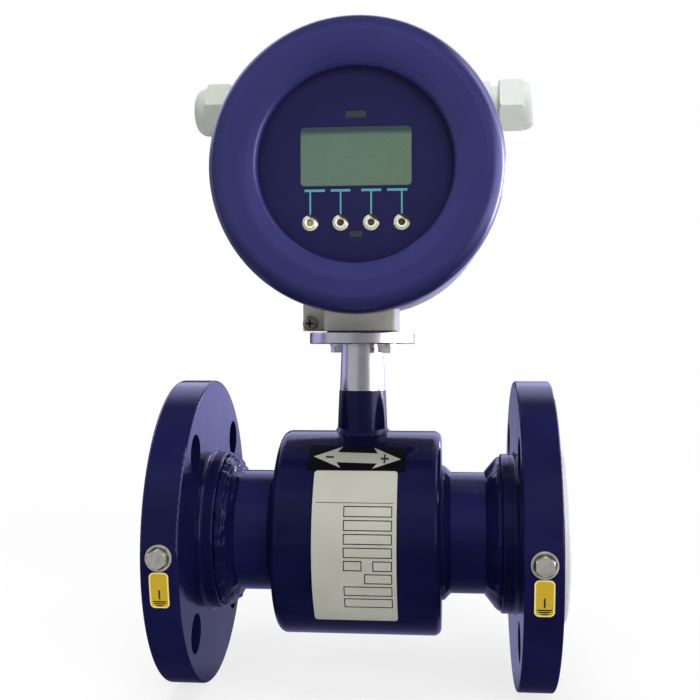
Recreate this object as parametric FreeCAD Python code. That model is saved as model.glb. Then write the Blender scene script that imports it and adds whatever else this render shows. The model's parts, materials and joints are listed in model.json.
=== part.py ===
import FreeCAD, Part
import math
import os

# Electromagnetic flow meter, DN 50, in millimetres.
# X runs along the pipe from the inlet (-X) to the outlet (+X), +Z is up, and the display faces -Y.
# The origin is where the pipe's axis crosses the neck's axis.

# measuring tube and its liner
lay_length = 200.0  # over the liner's flares
tube_diameter = 60.3
tube_wall = 2.77
liner_wall = 3.0
flare_inset = 2.05  # from the raised face's edge to the flare's
flare_thickness = 4.5
flare_edge_round = 1.5

# flanges
flange_diameter = 152.4
rim_thickness = 17.5
rim_edge_round = 1.2
raised_face_clear = 4.75  # from the raised face's edge to the bolt holes
raised_face_height = 2.0
bolt_circle_inset = 15.875  # from the flange's edge
bolt_hole_diameter = 19.05
bolt_hole_count = 4
hub_diameter = 79.0
hub_length = 7.0
hub_edge_round = 1.0
hub_root_round = 2.0
hub_weld_rise = 8.2
hub_weld_run = 7.5

# coil casing
casing_diameter = 101.6
casing_wall = 3.0
casing_length = 80.0
end_plate_thickness = 5.0
end_plate_edge_round = 4.0
casing_weld_rise = 3.8
casing_weld_run = 4.5
weld_bulge = 0.6

# neck
neck_root_diameter = 25.2
neck_top_diameter = 21.2
neck_bore_diameter = 14.0
neck_height = 95.0  # pipe axis to the underside of the neck flange
paint_line_height = 71.6
paint_shoulder = 0.35
neck_weld_rise = 2.2
neck_weld_run = 2.0
neck_flange_diameter = 53.4
neck_flange_thickness = 5.8
neck_flange_edge_round = 0.6
gasket_thickness = 0.8
gasket_half_width = 16.5
gasket_corner = 3.0
neck_bolt_offset = 13.2  # along X and along Y from the neck's axis

# small bolts
bolt_diameter = 5.0
bolt_head_flats = 8.0
bolt_head_height = 3.5
bolt_head_chamfer = 0.6
washer_diameter = 10.0
washer_thickness = 1.0
neck_bolt_depth = 9.0
earth_bolt_depth = 10.0
earth_washer_diameter = 12.0
spot_face_depth = 0.3

# earth tags and plates
tag_width = 8.8
tag_height = 16.5
tag_corner = 2.2
tag_drop = 6.4  # from the earth bolt's axis to the tag's top edge
tag_thickness = 0.3
plate_thickness = 0.4
rating_plate_width = 39.4
rating_plate_height = 71.0
rating_plate_corner = 1.5
rating_plate_drop = 15.8  # from the top of the casing
arrow_plate_width = 46.6
arrow_plate_height = 10.4
arrow_plate_corner = 0.4
arrow_plate_drop = 5.2
arrow_plate_tilt = 1.2

# field coils, one above and one below the tube
pole_core_diameter = 12.0
bobbin_wall = 1.1
bobbin_flange_diameter = 30.0
bobbin_flange_thickness = 0.8
bobbin_top_gap = 3.2
coil_diameter = 28.0
yoke_gap = 3.4  # inside the casing's shell
yoke_wall = 2.4
yoke_width = 36.0
yoke_window_diameter = 12.0  # over each electrode

# electrodes
electrode_head_diameter = 10.0
electrode_head_thickness = 2.0
electrode_shank_diameter = 4.0
electrode_stub = 2.05  # the shank's end beyond its nut
bush_diameter = 8.8
bush_flange_diameter = 14.0
bush_flange_thickness = 1.5
spring_washer_diameter = 9.0
spring_washer_thickness = 1.2
electrode_nut_flats = 7.0
electrode_nut_height = 3.0

# lead bundle
lead_bundle_diameter = 6.0
lead_plug_length = 7.0
lead_bundle_rise = 22.4  # above the foot face

# head housing, turned about an axis along Y
foot_rise = 10.1  # foot face to the bottom of the barrel
housing_diameter = 136.0
shoulder_height = 5.7  # from the spigots out to the barrel
front_spigot_end = -36.0
front_shoulder = -22.0
partition_front = -4.0
partition_back = 0.0
rear_shoulder = 48.0
rear_spigot_end = 60.0
spigot_wall = 4.3
ledge_width = 3.5
ledge_depth = 2.5
housing_edge_round = 1.6
spigot_edge_round = 0.8
cavity_root_round = 3.0
foot_width = 35.6
foot_front = -17.5
foot_back = 24.0
foot_edge_round = 2.0
ear_reach = 12.2  # beyond the foot's side
ear_front = -5.0
ear_back = 10.0
ear_height = 22.0
ear_edge_round = 2.5
ear_screw_inset = 4.0  # from the ear's end
ear_screw_rise = 3.7
ear_screw_diameter = 4.0
ear_screw_depth = 10.0
screw_head_diameter = 7.5
screw_head_height = 2.6
screw_head_round = 1.6
recess_length = 4.2
recess_width = 1.1
recess_depth = 1.4

# front ring and its seal
ring_overhang = 2.4  # beyond the barrel
ring_front_round = 9.0
ring_rear_round = 1.0
lip_width = 11.3  # from the panel's edge in to the opening
cove_width = 7.2
cove_depth = 3.5
cove_round = 12.0
lip_thickness = 3.0
lip_edge_round = 3.5
ring_seal_margin = 1.0  # outside the ring's opening
ring_seal_width = 8.7
ring_seal_thickness = 3.0

# rear cover and its seal
rear_cover_end_gap = 5.0  # behind the rear spigot
rear_cover_wall = 5.0
rear_cover_edge_round = 5.0
rear_seal_thickness = 1.0
rear_seal_width = 3.6

# front panel and what it carries
panel_thickness = 3.0
window_ledge = 2.0
lens_thickness = 1.5
lens_recess = 0.3
display_width = 53.0
display_height = 28.2
display_corner = 2.0
display_rise = 4.3
status_width = 10.3
status_height = 3.6
status_rise = 24.1
port_width = 6.4
port_height = 3.1
port_rise = -32.5
small_window_corner = 0.5
small_window_ledge = 0.6
key_count = 4
key_pitch = 14.5
key_rise = -27.2
key_diameter = 2.8
key_travel = 1.2
key_collar_diameter = 6.0
key_collar_thickness = 1.2
key_front_recess = 2.2
bezel_diameter = 7.6
bezel_mouth_diameter = 5.0
bezel_mouth_bevel = 0.5
bezel_height = 1.8
bezel_sleeve_diameter = 5.4
bezel_edge = 0.5

# boards
module_thickness = 7.0
module_margin = 1.6
board_gap = 3.5  # inside the ledge
board_thickness = 1.6
main_board_front = -15.0
pillar_inset = 7.0  # from the board's edge
pillar_diameter = 6.0
pillar_stud_diameter = 3.0
pillar_head_diameter = 5.6
pillar_head_height = 1.6
pillar_count = 4
switch_size = 6.0
switch_height = 3.5
switch_nub_diameter = 3.5
switch_nub_height = 0.7

# terminal block
terminal_width = 64.0
terminal_depth = 14.0
terminal_height = 18.0
terminal_drop = 12.0  # block's middle below the head's axis
terminal_count = 8
terminal_screw_diameter = 5.0
terminal_screw_length = 5.0
terminal_screw_sink = 1.0
terminal_slot_width = 0.8

# cable glands
gland_y = 12.0
gland_rise = 37.2
gland_boss_diameter = 27.6
gland_boss_inset = 8.0  # from the barrel's side
gland_boss_edge_round = 1.0
gland_thread_diameter = 20.0
gland_shank_length = 13.0
gland_bore_diameter = 16.6
gland_collar_flats = 24.0
gland_collar_length = 4.6
gland_collar_chamfer = 0.7
gland_thread_length = 11.8
gland_nut_gap = 4.6  # between the collar and the nut
gland_nut_length = 18.8
gland_nut_flats = 25.5
gland_nut_hex_length = 11.8
gland_nut_chamfer = 1.0
gland_dome_diameter = 24.8
gland_dome_round = 6.0
gland_end_wall = 1.9
gland_nut_thread_depth = 11.0  # from the nut's open end to the step behind its thread
gland_mouth_diameter = 13.0
seal_overlap = 2.4  # into the thread's open end
seal_bore_diameter = 10.0
left_nut_turn = 33.0
right_nut_turn = 41.0

# clearances
close_gap = 0.1  # fitted pieces of one assembly
slip_gap = 0.3  # slip-on pieces that a weld closes
running_gap = 0.4  # threads and pieces that turn or slide
recess_overrun = 1.0  # how far a cutting solid runs past an open face

ex = FreeCAD.Vector(1, 0, 0)
ey = FreeCAD.Vector(0, 1, 0)
ez = FreeCAD.Vector(0, 0, 1)
origin = FreeCAD.Vector(0, 0, 0)

tube_radius = tube_diameter / 2
tube_inner_radius = tube_radius - tube_wall
liner_outer_radius = tube_inner_radius - close_gap
liner_radius = liner_outer_radius - liner_wall
half_lay = lay_length / 2
bolt_circle = flange_diameter - 2 * bolt_circle_inset
raised_face_diameter = bolt_circle - bolt_hole_diameter - 2 * raised_face_clear
flare_diameter = raised_face_diameter - 2 * flare_inset
face_x = half_lay - flare_thickness
rim_outer_x = face_x - raised_face_height
rim_inner_x = rim_outer_x - rim_thickness
rim_middle_x = (rim_outer_x + rim_inner_x) / 2
hub_end_x = rim_inner_x - hub_length
rim_radius = flange_diameter / 2
spot_radius = rim_radius - spot_face_depth

casing_radius = casing_diameter / 2
casing_half = casing_length / 2
shell_half = casing_half - end_plate_thickness
shell_inner_radius = casing_radius - casing_wall
yoke_radius = shell_inner_radius - yoke_gap
yoke_inner_radius = yoke_radius - yoke_wall
rating_plate_top = casing_radius - rating_plate_drop
arrow_plate_top = casing_radius - arrow_plate_drop

neck_bore_radius = neck_bore_diameter / 2
neck_flange_top = neck_height + neck_flange_thickness
foot_z = neck_flange_top + gasket_thickness
lead_bundle_top = foot_z + lead_bundle_rise

housing_radius = housing_diameter / 2
head_rise = foot_rise + housing_radius
head_z = foot_z + head_rise
head_centre = FreeCAD.Vector(0, 0, head_z)
spigot_radius = housing_radius - shoulder_height
cavity_radius = spigot_radius - spigot_wall
ledge_radius = cavity_radius - ledge_width
ledge_y = front_spigot_end + ledge_depth
panel_front = ledge_y - panel_thickness
panel_radius = cavity_radius - running_gap
thread_wall_radius = spigot_radius + running_gap
ring_radius = housing_radius + ring_overhang
ring_rear = front_shoulder - running_gap
lip_back = panel_front - ring_seal_thickness
ring_front = lip_back - lip_thickness - cove_depth
ring_opening_radius = panel_radius - lip_width
ring_seal_inner_radius = ring_opening_radius + ring_seal_margin
rear_cover_inside = rear_spigot_end + rear_cover_end_gap
rear_cover_back = rear_cover_inside + rear_cover_wall
ear_end = foot_width / 2 + ear_reach

display_board_front = ledge_y + module_thickness
board_radius = ledge_radius - board_gap
pillar_circle_radius = board_radius - pillar_inset

gland_boss_end = housing_radius - gland_boss_inset
gland_shank_end = gland_boss_end - gland_shank_length
gland_collar_end = gland_boss_end + gland_collar_length
gland_thread_end = gland_collar_end + gland_thread_length
gland_nut_start = gland_collar_end + gland_nut_gap
gland_nut_end = gland_nut_start + gland_nut_length
seal_start = gland_thread_end - seal_overlap


def placed(centre, axis, side):
    """A function that puts a flat (along, out) point into space."""
    def place(point):
        return centre + axis * point.x + side * point.y
    return place


def rounded_wire(corners, place):
    """A closed wire through the corners, where a corner's third value is its radius."""
    stops = []
    for i, corner in enumerate(corners):
        here = FreeCAD.Vector(corner[0], corner[1], 0)
        if len(corner) < 3:
            stops.append([here])
            continue
        before = corners[i - 1]
        after = corners[(i + 1) % len(corners)]
        back = (FreeCAD.Vector(before[0], before[1], 0) - here).normalize()
        ahead = (FreeCAD.Vector(after[0], after[1], 0) - here).normalize()
        half_angle = back.getAngle(ahead) / 2
        reach = corner[2] / math.tan(half_angle)
        sag = corner[2] / math.sin(half_angle) - corner[2]
        middle = here + (back + ahead).normalize() * sag
        stops.append([here + back * reach, middle, here + ahead * reach])
    edges = []
    for i, stop in enumerate(stops):
        if len(stop) == 3:
            edges.append(Part.Arc(place(stop[0]), place(stop[1]), place(stop[2])).toShape())
        start = stop[-1]
        finish = stops[(i + 1) % len(stops)][0]
        edges.append(Part.LineSegment(place(start), place(finish)).toShape())
    return Part.Wire(edges)


def side_of(axis):
    """The direction in which radii are drawn for an axis."""
    return ez if abs(axis.z) < 0.5 else ex


def turned(corners, axis, centre=origin):
    """A solid of revolution from (along the axis, radius) corners."""
    wire = rounded_wire(corners, placed(centre, axis, side_of(axis)))
    return Part.Face(wire).revolve(centre, axis, 360)


def rod(radius, start, end, axis, centre=origin):
    return Part.makeCylinder(radius, end - start, centre + axis * start, axis)


def bored(radius, start, end, axis, centre=origin):
    """A cutting rod that runs past both ends."""
    return rod(radius, start - recess_overrun, end + recess_overrun, axis, centre)


def tube(outer_radius, inner_radius, start, end, axis, centre=origin):
    return rod(outer_radius, start, end, axis, centre).cut(bored(inner_radius, start, end, axis, centre))


def box(low, high):
    size = high - low
    return Part.makeBox(size.x, size.y, size.z, low)


def slab(width, height, corner, start, end, centre):
    """A rounded rectangle in X and Z, from y = start to y = end."""
    w = width / 2
    h = height / 2
    outline = [(-w, -h, corner), (w, -h, corner), (w, h, corner), (-w, h, corner)]
    wire = rounded_wire(outline, placed(centre + ey * start, ex, ez))
    return Part.Face(wire).extrude(ey * (end - start))


def hexagon(flats, start, end, axis, centre, turn=0.0, chamfer=0.0, both=False):
    """A hexagonal prism along the axis, chamfered at its far end, or at both."""
    corner = flats / math.sqrt(3)
    side = side_of(axis)
    other = axis.cross(side)
    points = []
    for i in range(7):
        angle = math.radians(60 * i + turn)
        points.append(centre + axis * start + (side * math.cos(angle) + other * math.sin(angle)) * corner)
    prism = Part.Face(Part.makePolygon(points)).extrude(axis * (end - start))
    if not chamfer:
        return prism
    flat_radius = corner - chamfer
    slope = chamfer / 2
    near = [(start, 0), (start, flat_radius), (start + slope, corner)] if both else [(start, 0), (start, corner)]
    envelope = turned(near + [(end - slope, corner), (end, flat_radius), (end, 0)], axis, centre)
    return prism.common(envelope)


def bead(root_along, root_radius, run, rise, axis):
    """A fillet weld bead: upright side at root_along, toe towards the middle of the meter."""
    place = placed(origin, axis, side_of(axis))
    root = FreeCAD.Vector(root_along, root_radius, 0)
    top = FreeCAD.Vector(root_along, root_radius + rise, 0)
    toe = FreeCAD.Vector(root_along - run, root_radius, 0)
    outward = FreeCAD.Vector(-rise, run, 0).normalize()
    crown = (top + toe) / 2 + outward * weld_bulge
    edges = [
        Part.LineSegment(place(root), place(top)).toShape(),
        Part.Arc(place(top), place(crown), place(toe)).toShape(),
        Part.LineSegment(place(toe), place(root)).toShape(),
    ]
    return Part.Face(Part.Wire(edges)).revolve(origin, axis, 360)


def hex_bolt(seat, end, axis, centre):
    """A small hexagon bolt whose head sits at seat along the axis and whose shank ends at end."""
    head = hexagon(bolt_head_flats, seat, seat + bolt_head_height, axis, centre, 0.0, bolt_head_chamfer)
    return head.fuse(rod(bolt_diameter / 2, end, seat, axis, centre))


def bolt_hole_radius():
    return bolt_diameter / 2 + close_gap


def flange(side):
    bore = tube_radius + slip_gap
    hub = hub_diameter / 2
    raised = raised_face_diameter / 2
    body = turned([
        (hub_end_x, bore),
        (hub_end_x, hub, hub_edge_round),
        (rim_inner_x, hub, hub_root_round),
        (rim_inner_x, rim_radius, rim_edge_round),
        (rim_outer_x, rim_radius, rim_edge_round),
        (rim_outer_x, raised),
        (face_x, raised),
        (face_x, bore),
    ], ex * side)
    for i in range(bolt_hole_count):
        angle = math.radians(360 / bolt_hole_count * (i + 0.5))
        centre = (ey * math.cos(angle) + ez * math.sin(angle)) * (bolt_circle / 2)
        body = body.cut(rod(bolt_hole_diameter / 2, hub_end_x, half_lay, ex * side, centre))
    earth = ex * (side * rim_middle_x)
    spot = rod(earth_washer_diameter / 2 + slip_gap, spot_radius, rim_radius + recess_overrun, ey * -1, earth)
    tapped = rod(bolt_hole_radius(), spot_radius - earth_bolt_depth - recess_overrun, rim_radius, ey * -1, earth)
    return body.cut(spot).cut(tapped)


def measuring_tube():
    body = tube(tube_radius, tube_inner_radius, -face_x, face_x, ex)
    return body.cut(rod(bush_diameter / 2 + close_gap, -casing_radius, casing_radius, ey))


def tube_liner():
    flare = flare_diameter / 2
    body = turned([
        (-half_lay, liner_radius),
        (-half_lay, flare, flare_edge_round),
        (-face_x, flare),
        (-face_x, liner_outer_radius),
        (face_x, liner_outer_radius),
        (face_x, flare),
        (half_lay, flare, flare_edge_round),
        (half_lay, liner_radius),
    ], ex)
    seat = electrode_seat()
    head = rod(electrode_head_diameter / 2 + close_gap, -seat, seat, ey)
    shank = rod(electrode_shank_diameter / 2 + close_gap, -casing_radius, casing_radius, ey)
    return body.cut(head).cut(shank)


def electrode_seat():
    """How far from the pipe's axis the electrode's head bears on the liner."""
    return liner_radius + electrode_head_thickness


def hub_welds():
    return Part.makeCompound([bead(hub_end_x, tube_radius, hub_weld_run, hub_weld_rise, ex * s) for s in (-1, 1)])


def casing_shell():
    shell = tube(casing_radius, shell_inner_radius, -shell_half, shell_half, ex)
    return shell.cut(rod(neck_bore_radius, 0, neck_height, ez))


def casing_end(side):
    bore = tube_radius + slip_gap
    return turned([
        (shell_half, bore),
        (shell_half, casing_radius),
        (casing_half, casing_radius, end_plate_edge_round),
        (casing_half, bore),
    ], ex * side)


def casing_welds():
    beads = []
    for side in (-1, 1):
        # the bead's upright side lies on the end plate, so it is drawn from the far side
        beads.append(bead(-casing_half, tube_radius, casing_weld_run, casing_weld_rise, ex * side))
    return Part.makeCompound(beads)


def neck_radius_at(height):
    """The neck's tapered radius without its paint."""
    share = (height - casing_radius) / (neck_height - casing_radius)
    root = neck_root_diameter / 2 - paint_shoulder
    return root + (neck_top_diameter / 2 - root) * share


def neck_tube():
    low = shell_inner_radius
    stub = turned([
        (low, neck_bore_radius),
        (low, neck_radius_at(low) + paint_shoulder),
        (paint_line_height, neck_radius_at(paint_line_height) + paint_shoulder),
        (paint_line_height, neck_radius_at(paint_line_height)),
        (neck_height, neck_top_diameter / 2),
        (neck_height, neck_bore_radius),
    ], ez)
    return stub.cut(rod(casing_radius, -casing_half, casing_half, ex))


def neck_weld():
    inner = neck_bore_radius + recess_overrun
    low = shell_inner_radius
    top = casing_radius + neck_weld_rise
    at_top = neck_radius_at(top) + paint_shoulder
    slope = neck_weld_run / neck_weld_rise
    cone = turned([(low, inner), (low, at_top + (top - low) * slope), (top, at_top), (top, inner)], ez)
    blank = turned([
        (low - recess_overrun, 0),
        (low - recess_overrun, neck_radius_at(low - recess_overrun) + paint_shoulder),
        (top + recess_overrun, neck_radius_at(top + recess_overrun) + paint_shoulder),
        (top + recess_overrun, 0),
    ], ez)
    return cone.cut(rod(casing_radius, -casing_half, casing_half, ex)).cut(blank)


def neck_bolt_places():
    return [FreeCAD.Vector(s * neck_bolt_offset, -s * neck_bolt_offset, 0) for s in (-1, 1)]


def neck_flange():
    radius = neck_flange_diameter / 2
    disc = turned([
        (neck_height, neck_bore_radius),
        (neck_height, radius, neck_flange_edge_round),
        (neck_flange_top, radius, neck_flange_edge_round),
        (neck_flange_top, neck_bore_radius),
    ], ez)
    for place in neck_bolt_places():
        disc = disc.cut(bored(bolt_hole_radius(), neck_height, neck_flange_top, ez, place))
    return disc


def neck_gasket():
    w = gasket_half_width
    outline = [(-w, -w, gasket_corner), (w, -w, gasket_corner), (w, w, gasket_corner), (-w, w, gasket_corner)]
    wire = rounded_wire(outline, placed(ez * neck_flange_top, ex, ey))
    sheet = Part.Face(wire).extrude(ez * gasket_thickness)
    sheet = sheet.cut(bored(neck_bore_radius, neck_flange_top, foot_z, ez))
    for place in neck_bolt_places():
        sheet = sheet.cut(bored(bolt_hole_radius(), neck_flange_top, foot_z, ez, place))
    return sheet


def neck_bolts():
    """Bolts from beneath: the axis points down, out of the head."""
    down = ez * -1
    seat = washer_thickness - neck_height
    end = -foot_z - neck_bolt_depth
    return Part.makeCompound([hex_bolt(seat, end, down, place) for place in neck_bolt_places()])


def neck_washers():
    low = neck_height - washer_thickness
    rings = [tube(washer_diameter / 2, bolt_hole_radius(), low, neck_height, ez, p) for p in neck_bolt_places()]
    return Part.makeCompound(rings)


def earth_places():
    return [ex * (side * rim_middle_x) for side in (-1, 1)]


def earth_washers():
    rings = []
    for place in earth_places():
        end = spot_radius + washer_thickness
        rings.append(tube(earth_washer_diameter / 2, bolt_hole_radius(), spot_radius, end, ey * -1, place))
    return Part.makeCompound(rings)


def earth_bolts():
    seat = spot_radius + washer_thickness
    return Part.makeCompound([
        hex_bolt(seat, spot_radius - earth_bolt_depth, ey * -1, place) for place in earth_places()
    ])


def wrapped_plate(radius, thickness, width, height, corner, middle, tilt=0.0):
    """A thin plate bent round the pipe's axis on its -Y side, with its outline cut from the front."""
    inner = radius + close_gap
    reach = inner + thickness + recess_overrun
    sheet = tube(inner + thickness, inner, middle.x - width, middle.x + width, ex)
    outline = slab(width, height, corner, -reach, 0, middle)
    outline.rotate(middle, ey, tilt)
    return sheet.common(outline)


def earth_tags():
    tags = []
    for place in earth_places():
        middle = place - ez * (tag_drop + tag_height / 2)
        tags.append(wrapped_plate(rim_radius, tag_thickness, tag_width, tag_height, tag_corner, middle))
    return Part.makeCompound(tags)


def rating_plate():
    middle = ez * (rating_plate_top - rating_plate_height / 2)
    return wrapped_plate(casing_radius, plate_thickness, rating_plate_width, rating_plate_height,
                         rating_plate_corner, middle)


def flow_arrow_plate():
    """It lies over the rating plate's top edge, cut clear of it."""
    middle = ez * (arrow_plate_top - arrow_plate_height / 2)
    plate = wrapped_plate(casing_radius, plate_thickness, arrow_plate_width, arrow_plate_height,
                          arrow_plate_corner, middle, arrow_plate_tilt)
    below = rating_plate_top + close_gap
    keep = box(FreeCAD.Vector(-casing_radius, -casing_diameter, below),
               FreeCAD.Vector(casing_radius, 0, casing_diameter))
    return plate.common(keep)


def pole_core(side):
    yoke_bore = rod(yoke_inner_radius, -casing_half, casing_half, ex)
    core = rod(pole_core_diameter / 2, 0, casing_radius, ez * side)
    return core.common(yoke_bore).cut(rod(tube_radius, -casing_half, casing_half, ex))


def bobbin_span():
    """Where a bobbin starts and ends along the pole's axis."""
    return tube_radius + close_gap, yoke_inner_radius - bobbin_top_gap


def bobbin_core_radius():
    return pole_core_diameter / 2 + close_gap + bobbin_wall


def bobbin(side):
    low, high = bobbin_span()
    bore = pole_core_diameter / 2 + close_gap
    cheek = bobbin_flange_diameter / 2
    return turned([
        (low, bore),
        (low, cheek),
        (low + bobbin_flange_thickness, cheek),
        (low + bobbin_flange_thickness, bobbin_core_radius()),
        (high - bobbin_flange_thickness, bobbin_core_radius()),
        (high - bobbin_flange_thickness, cheek),
        (high, cheek),
        (high, bore),
    ], ez * side)


def coil(side):
    low, high = bobbin_span()
    start = low + bobbin_flange_thickness + close_gap
    end = high - bobbin_flange_thickness - close_gap
    return tube(coil_diameter / 2, bobbin_core_radius() + close_gap, start, end, ez * side)


def return_yoke():
    ring = tube(yoke_radius, yoke_inner_radius, -yoke_width / 2, yoke_width / 2, ex)
    return ring.cut(rod(yoke_window_diameter / 2, -casing_radius, casing_radius, ey))


def electrode(side):
    head = rod(electrode_head_diameter / 2, 0, electrode_seat(), ey * side)
    nut_top = electrode_stack()[-1]
    shank = rod(electrode_shank_diameter / 2, 0, nut_top + electrode_stub, ey * side)
    return head.fuse(shank).cut(rod(liner_radius, -half_lay, half_lay, ex))


def electrode_stack():
    """Stops along the electrode: bush flange, spring washer, nut, top of the nut."""
    flange_low = tube_radius + close_gap
    washer_low = flange_low + bush_flange_thickness
    nut_low = washer_low + spring_washer_thickness
    return flange_low, washer_low, nut_low, nut_low + electrode_nut_height


def shank_hole():
    return electrode_shank_diameter / 2 + close_gap


def electrode_bushes():
    flange_low, washer_low, _, _ = electrode_stack()
    start = tube_inner_radius
    bushes = []
    for side in (-1, 1):
        bushes.append(turned([
            (start, shank_hole()),
            (start, bush_diameter / 2),
            (flange_low, bush_diameter / 2),
            (flange_low, bush_flange_diameter / 2),
            (washer_low, bush_flange_diameter / 2),
            (washer_low, shank_hole()),
        ], ey * side))
    return Part.makeCompound(bushes)


def electrode_washers():
    _, low, high, _ = electrode_stack()
    radius = spring_washer_diameter / 2
    return Part.makeCompound([tube(radius, shank_hole(), low, high, ey * side) for side in (-1, 1)])


def electrode_nuts():
    _, _, low, high = electrode_stack()
    nuts = []
    for side in (-1, 1):
        nut = hexagon(electrode_nut_flats, low, high, ey * side, origin)
        nuts.append(nut.cut(bored(shank_hole(), low, high, ey * side)))
    return Part.makeCompound(nuts)


def lead_bundle():
    return rod(lead_bundle_diameter / 2, yoke_radius + close_gap, lead_bundle_top, ez)


def lead_plug():
    end = neck_flange_top
    return tube(neck_bore_radius - close_gap, lead_bundle_diameter / 2 + close_gap, end - lead_plug_length, end, ez)


def housing_blank():
    """The casting's outside before its chambers are turned: barrel, foot, ear and gland bosses."""
    barrel = turned([
        (front_spigot_end, 0),
        (front_spigot_end, spigot_radius, spigot_edge_round),
        (front_shoulder, spigot_radius),
        (front_shoulder, housing_radius, housing_edge_round),
        (rear_shoulder, housing_radius, housing_edge_round),
        (rear_shoulder, spigot_radius),
        (rear_spigot_end, spigot_radius, spigot_edge_round),
        (rear_spigot_end, 0),
    ], ey, head_centre)
    foot = foot_block(-foot_width / 2, foot_width / 2, foot_front, foot_back, cavity_radius, foot_edge_round)
    ear = foot_block(-ear_end, 0, ear_front, ear_back, head_rise - ear_height, ear_edge_round)
    for side in (-1, 1):
        boss = turned([
            (0, 0),
            (0, gland_boss_diameter / 2),
            (gland_boss_end, gland_boss_diameter / 2, gland_boss_edge_round),
            (gland_boss_end, 0),
        ], ex * side, gland_centre())
        barrel = barrel.fuse(boss)
    return barrel.fuse(foot).fuse(ear)


def foot_block(left, right, front, back, top_drop, corner):
    """An upright block from the foot face to top_drop under the head's axis, with rounded corners."""
    outline = [(left, front, corner), (right, front, corner), (right, back, corner), (left, back, corner)]
    wire = rounded_wire(outline, placed(ez * foot_z, ex, ey))
    return Part.Face(wire).extrude(ez * (head_rise - top_drop))


def gland_centre():
    return head_centre + ey * gland_y + ez * gland_rise


def housing():
    body = housing_blank()
    front_chamber = turned([
        (front_spigot_end - recess_overrun, 0),
        (front_spigot_end - recess_overrun, cavity_radius),
        (ledge_y, cavity_radius),
        (ledge_y, ledge_radius),
        (partition_front, ledge_radius, cavity_root_round),
        (partition_front, 0),
    ], ey, head_centre)
    rear_chamber = turned([
        (partition_back, 0),
        (partition_back, cavity_radius, cavity_root_round),
        (rear_spigot_end + recess_overrun, cavity_radius),
        (rear_spigot_end + recess_overrun, 0),
    ], ey, head_centre)
    body = body.cut(front_chamber).cut(rear_chamber)
    body = body.cut(bored(neck_bore_radius, foot_z, lead_bundle_top, ez))
    for place in neck_bolt_places():
        body = body.cut(bored(bolt_hole_radius(), foot_z, foot_z + neck_bolt_depth, ez, place))
    for side in (-1, 1):
        spot = rod(gland_boss_diameter / 2 + slip_gap, gland_boss_end, housing_radius, ex * side, gland_centre())
        hole = bored(gland_hole_radius(), 0, gland_boss_end, ex * side, gland_centre())
        body = body.cut(spot).cut(hole)
    screw_hole = bored(ear_screw_diameter / 2 + close_gap, ear_front, ear_front + ear_screw_depth, ey,
                       ear_screw_centre())
    return body.cut(screw_hole)


def gland_hole_radius():
    return gland_thread_diameter / 2


def ear_screw_centre():
    return FreeCAD.Vector(ear_screw_inset - ear_end, 0, foot_z + ear_screw_rise)


def ear_screw():
    front = ey * -1
    seat = -ear_front
    centre = ear_screw_centre()
    top = seat + screw_head_height
    head = turned([
        (seat, 0),
        (seat, screw_head_diameter / 2),
        (top, screw_head_diameter / 2, screw_head_round),
        (top, 0),
    ], front, centre)
    shank = rod(ear_screw_diameter / 2, seat - ear_screw_depth, seat, front, centre)
    screw = head.fuse(shank)
    for length, width in ((recess_length, recess_width), (recess_width, recess_length)):
        low = centre + FreeCAD.Vector(-length / 2, -top - recess_overrun, -width / 2)
        high = centre + FreeCAD.Vector(length / 2, -top + recess_depth, width / 2)
        screw = screw.cut(box(low, high))
    return screw


def front_ring():
    return turned([
        (ring_rear, thread_wall_radius),
        (ring_rear, ring_radius, ring_rear_round),
        (ring_front, ring_radius, ring_front_round),
        (ring_front, ring_opening_radius + cove_width, cove_round),
        (ring_front + cove_depth, ring_opening_radius, lip_edge_round),
        (lip_back, ring_opening_radius),
        (lip_back, thread_wall_radius),
    ], ey, head_centre)


def ring_seal():
    outer = ring_seal_inner_radius + ring_seal_width
    return tube(outer, ring_seal_inner_radius, lip_back, panel_front, ey, head_centre)


def rear_cover():
    front = rear_shoulder + rear_seal_thickness
    return turned([
        (front, thread_wall_radius),
        (front, housing_radius, housing_edge_round),
        (rear_cover_back, housing_radius, rear_cover_edge_round),
        (rear_cover_back, 0),
        (rear_cover_inside, 0),
        (rear_cover_inside, thread_wall_radius),
    ], ey, head_centre)


def rear_seal():
    inner = thread_wall_radius
    return tube(inner + rear_seal_width, inner, rear_shoulder, rear_shoulder + rear_seal_thickness, ey, head_centre)


def windows():
    """Each window of the panel: width, height, corner, ledge and height above the head's axis."""
    return [
        (display_width, display_height, display_corner, window_ledge, display_rise),
        (status_width, status_height, small_window_corner, small_window_ledge, status_rise),
        (port_width, port_height, small_window_corner, small_window_ledge, port_rise),
    ]


def lens_back():
    return panel_front + lens_recess + lens_thickness


def window_opening(width, height, corner, ledge, rise):
    centre = head_centre + ez * rise
    front = slab(width, height, corner, panel_front - recess_overrun, lens_back(), centre)
    back = slab(width - 2 * ledge, height - 2 * ledge, corner / 2, panel_front, ledge_y + recess_overrun, centre)
    return front.fuse(back)


def window_lens(width, height, corner, ledge, rise):
    centre = head_centre + ez * rise
    trim = 2 * close_gap
    return slab(width - trim, height - trim, corner, panel_front + lens_recess, lens_back(), centre)


def key_centres():
    middle = (key_count - 1) / 2
    return [head_centre + ex * (key_pitch * (i - middle)) + ez * key_rise for i in range(key_count)]


def front_panel():
    disc = rod(panel_radius, panel_front, ledge_y, ey, head_centre)
    for window in windows():
        disc = disc.cut(window_opening(*window))
    for centre in key_centres():
        disc = disc.cut(bored(bezel_sleeve_diameter / 2 + close_gap, panel_front, ledge_y, ey, centre))
    return disc


def display_lens():
    return window_lens(*windows()[0])


def window_lenses():
    return Part.makeCompound([window_lens(*window) for window in windows()[1:]])


def bezel_front():
    return panel_front - bezel_height


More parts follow.
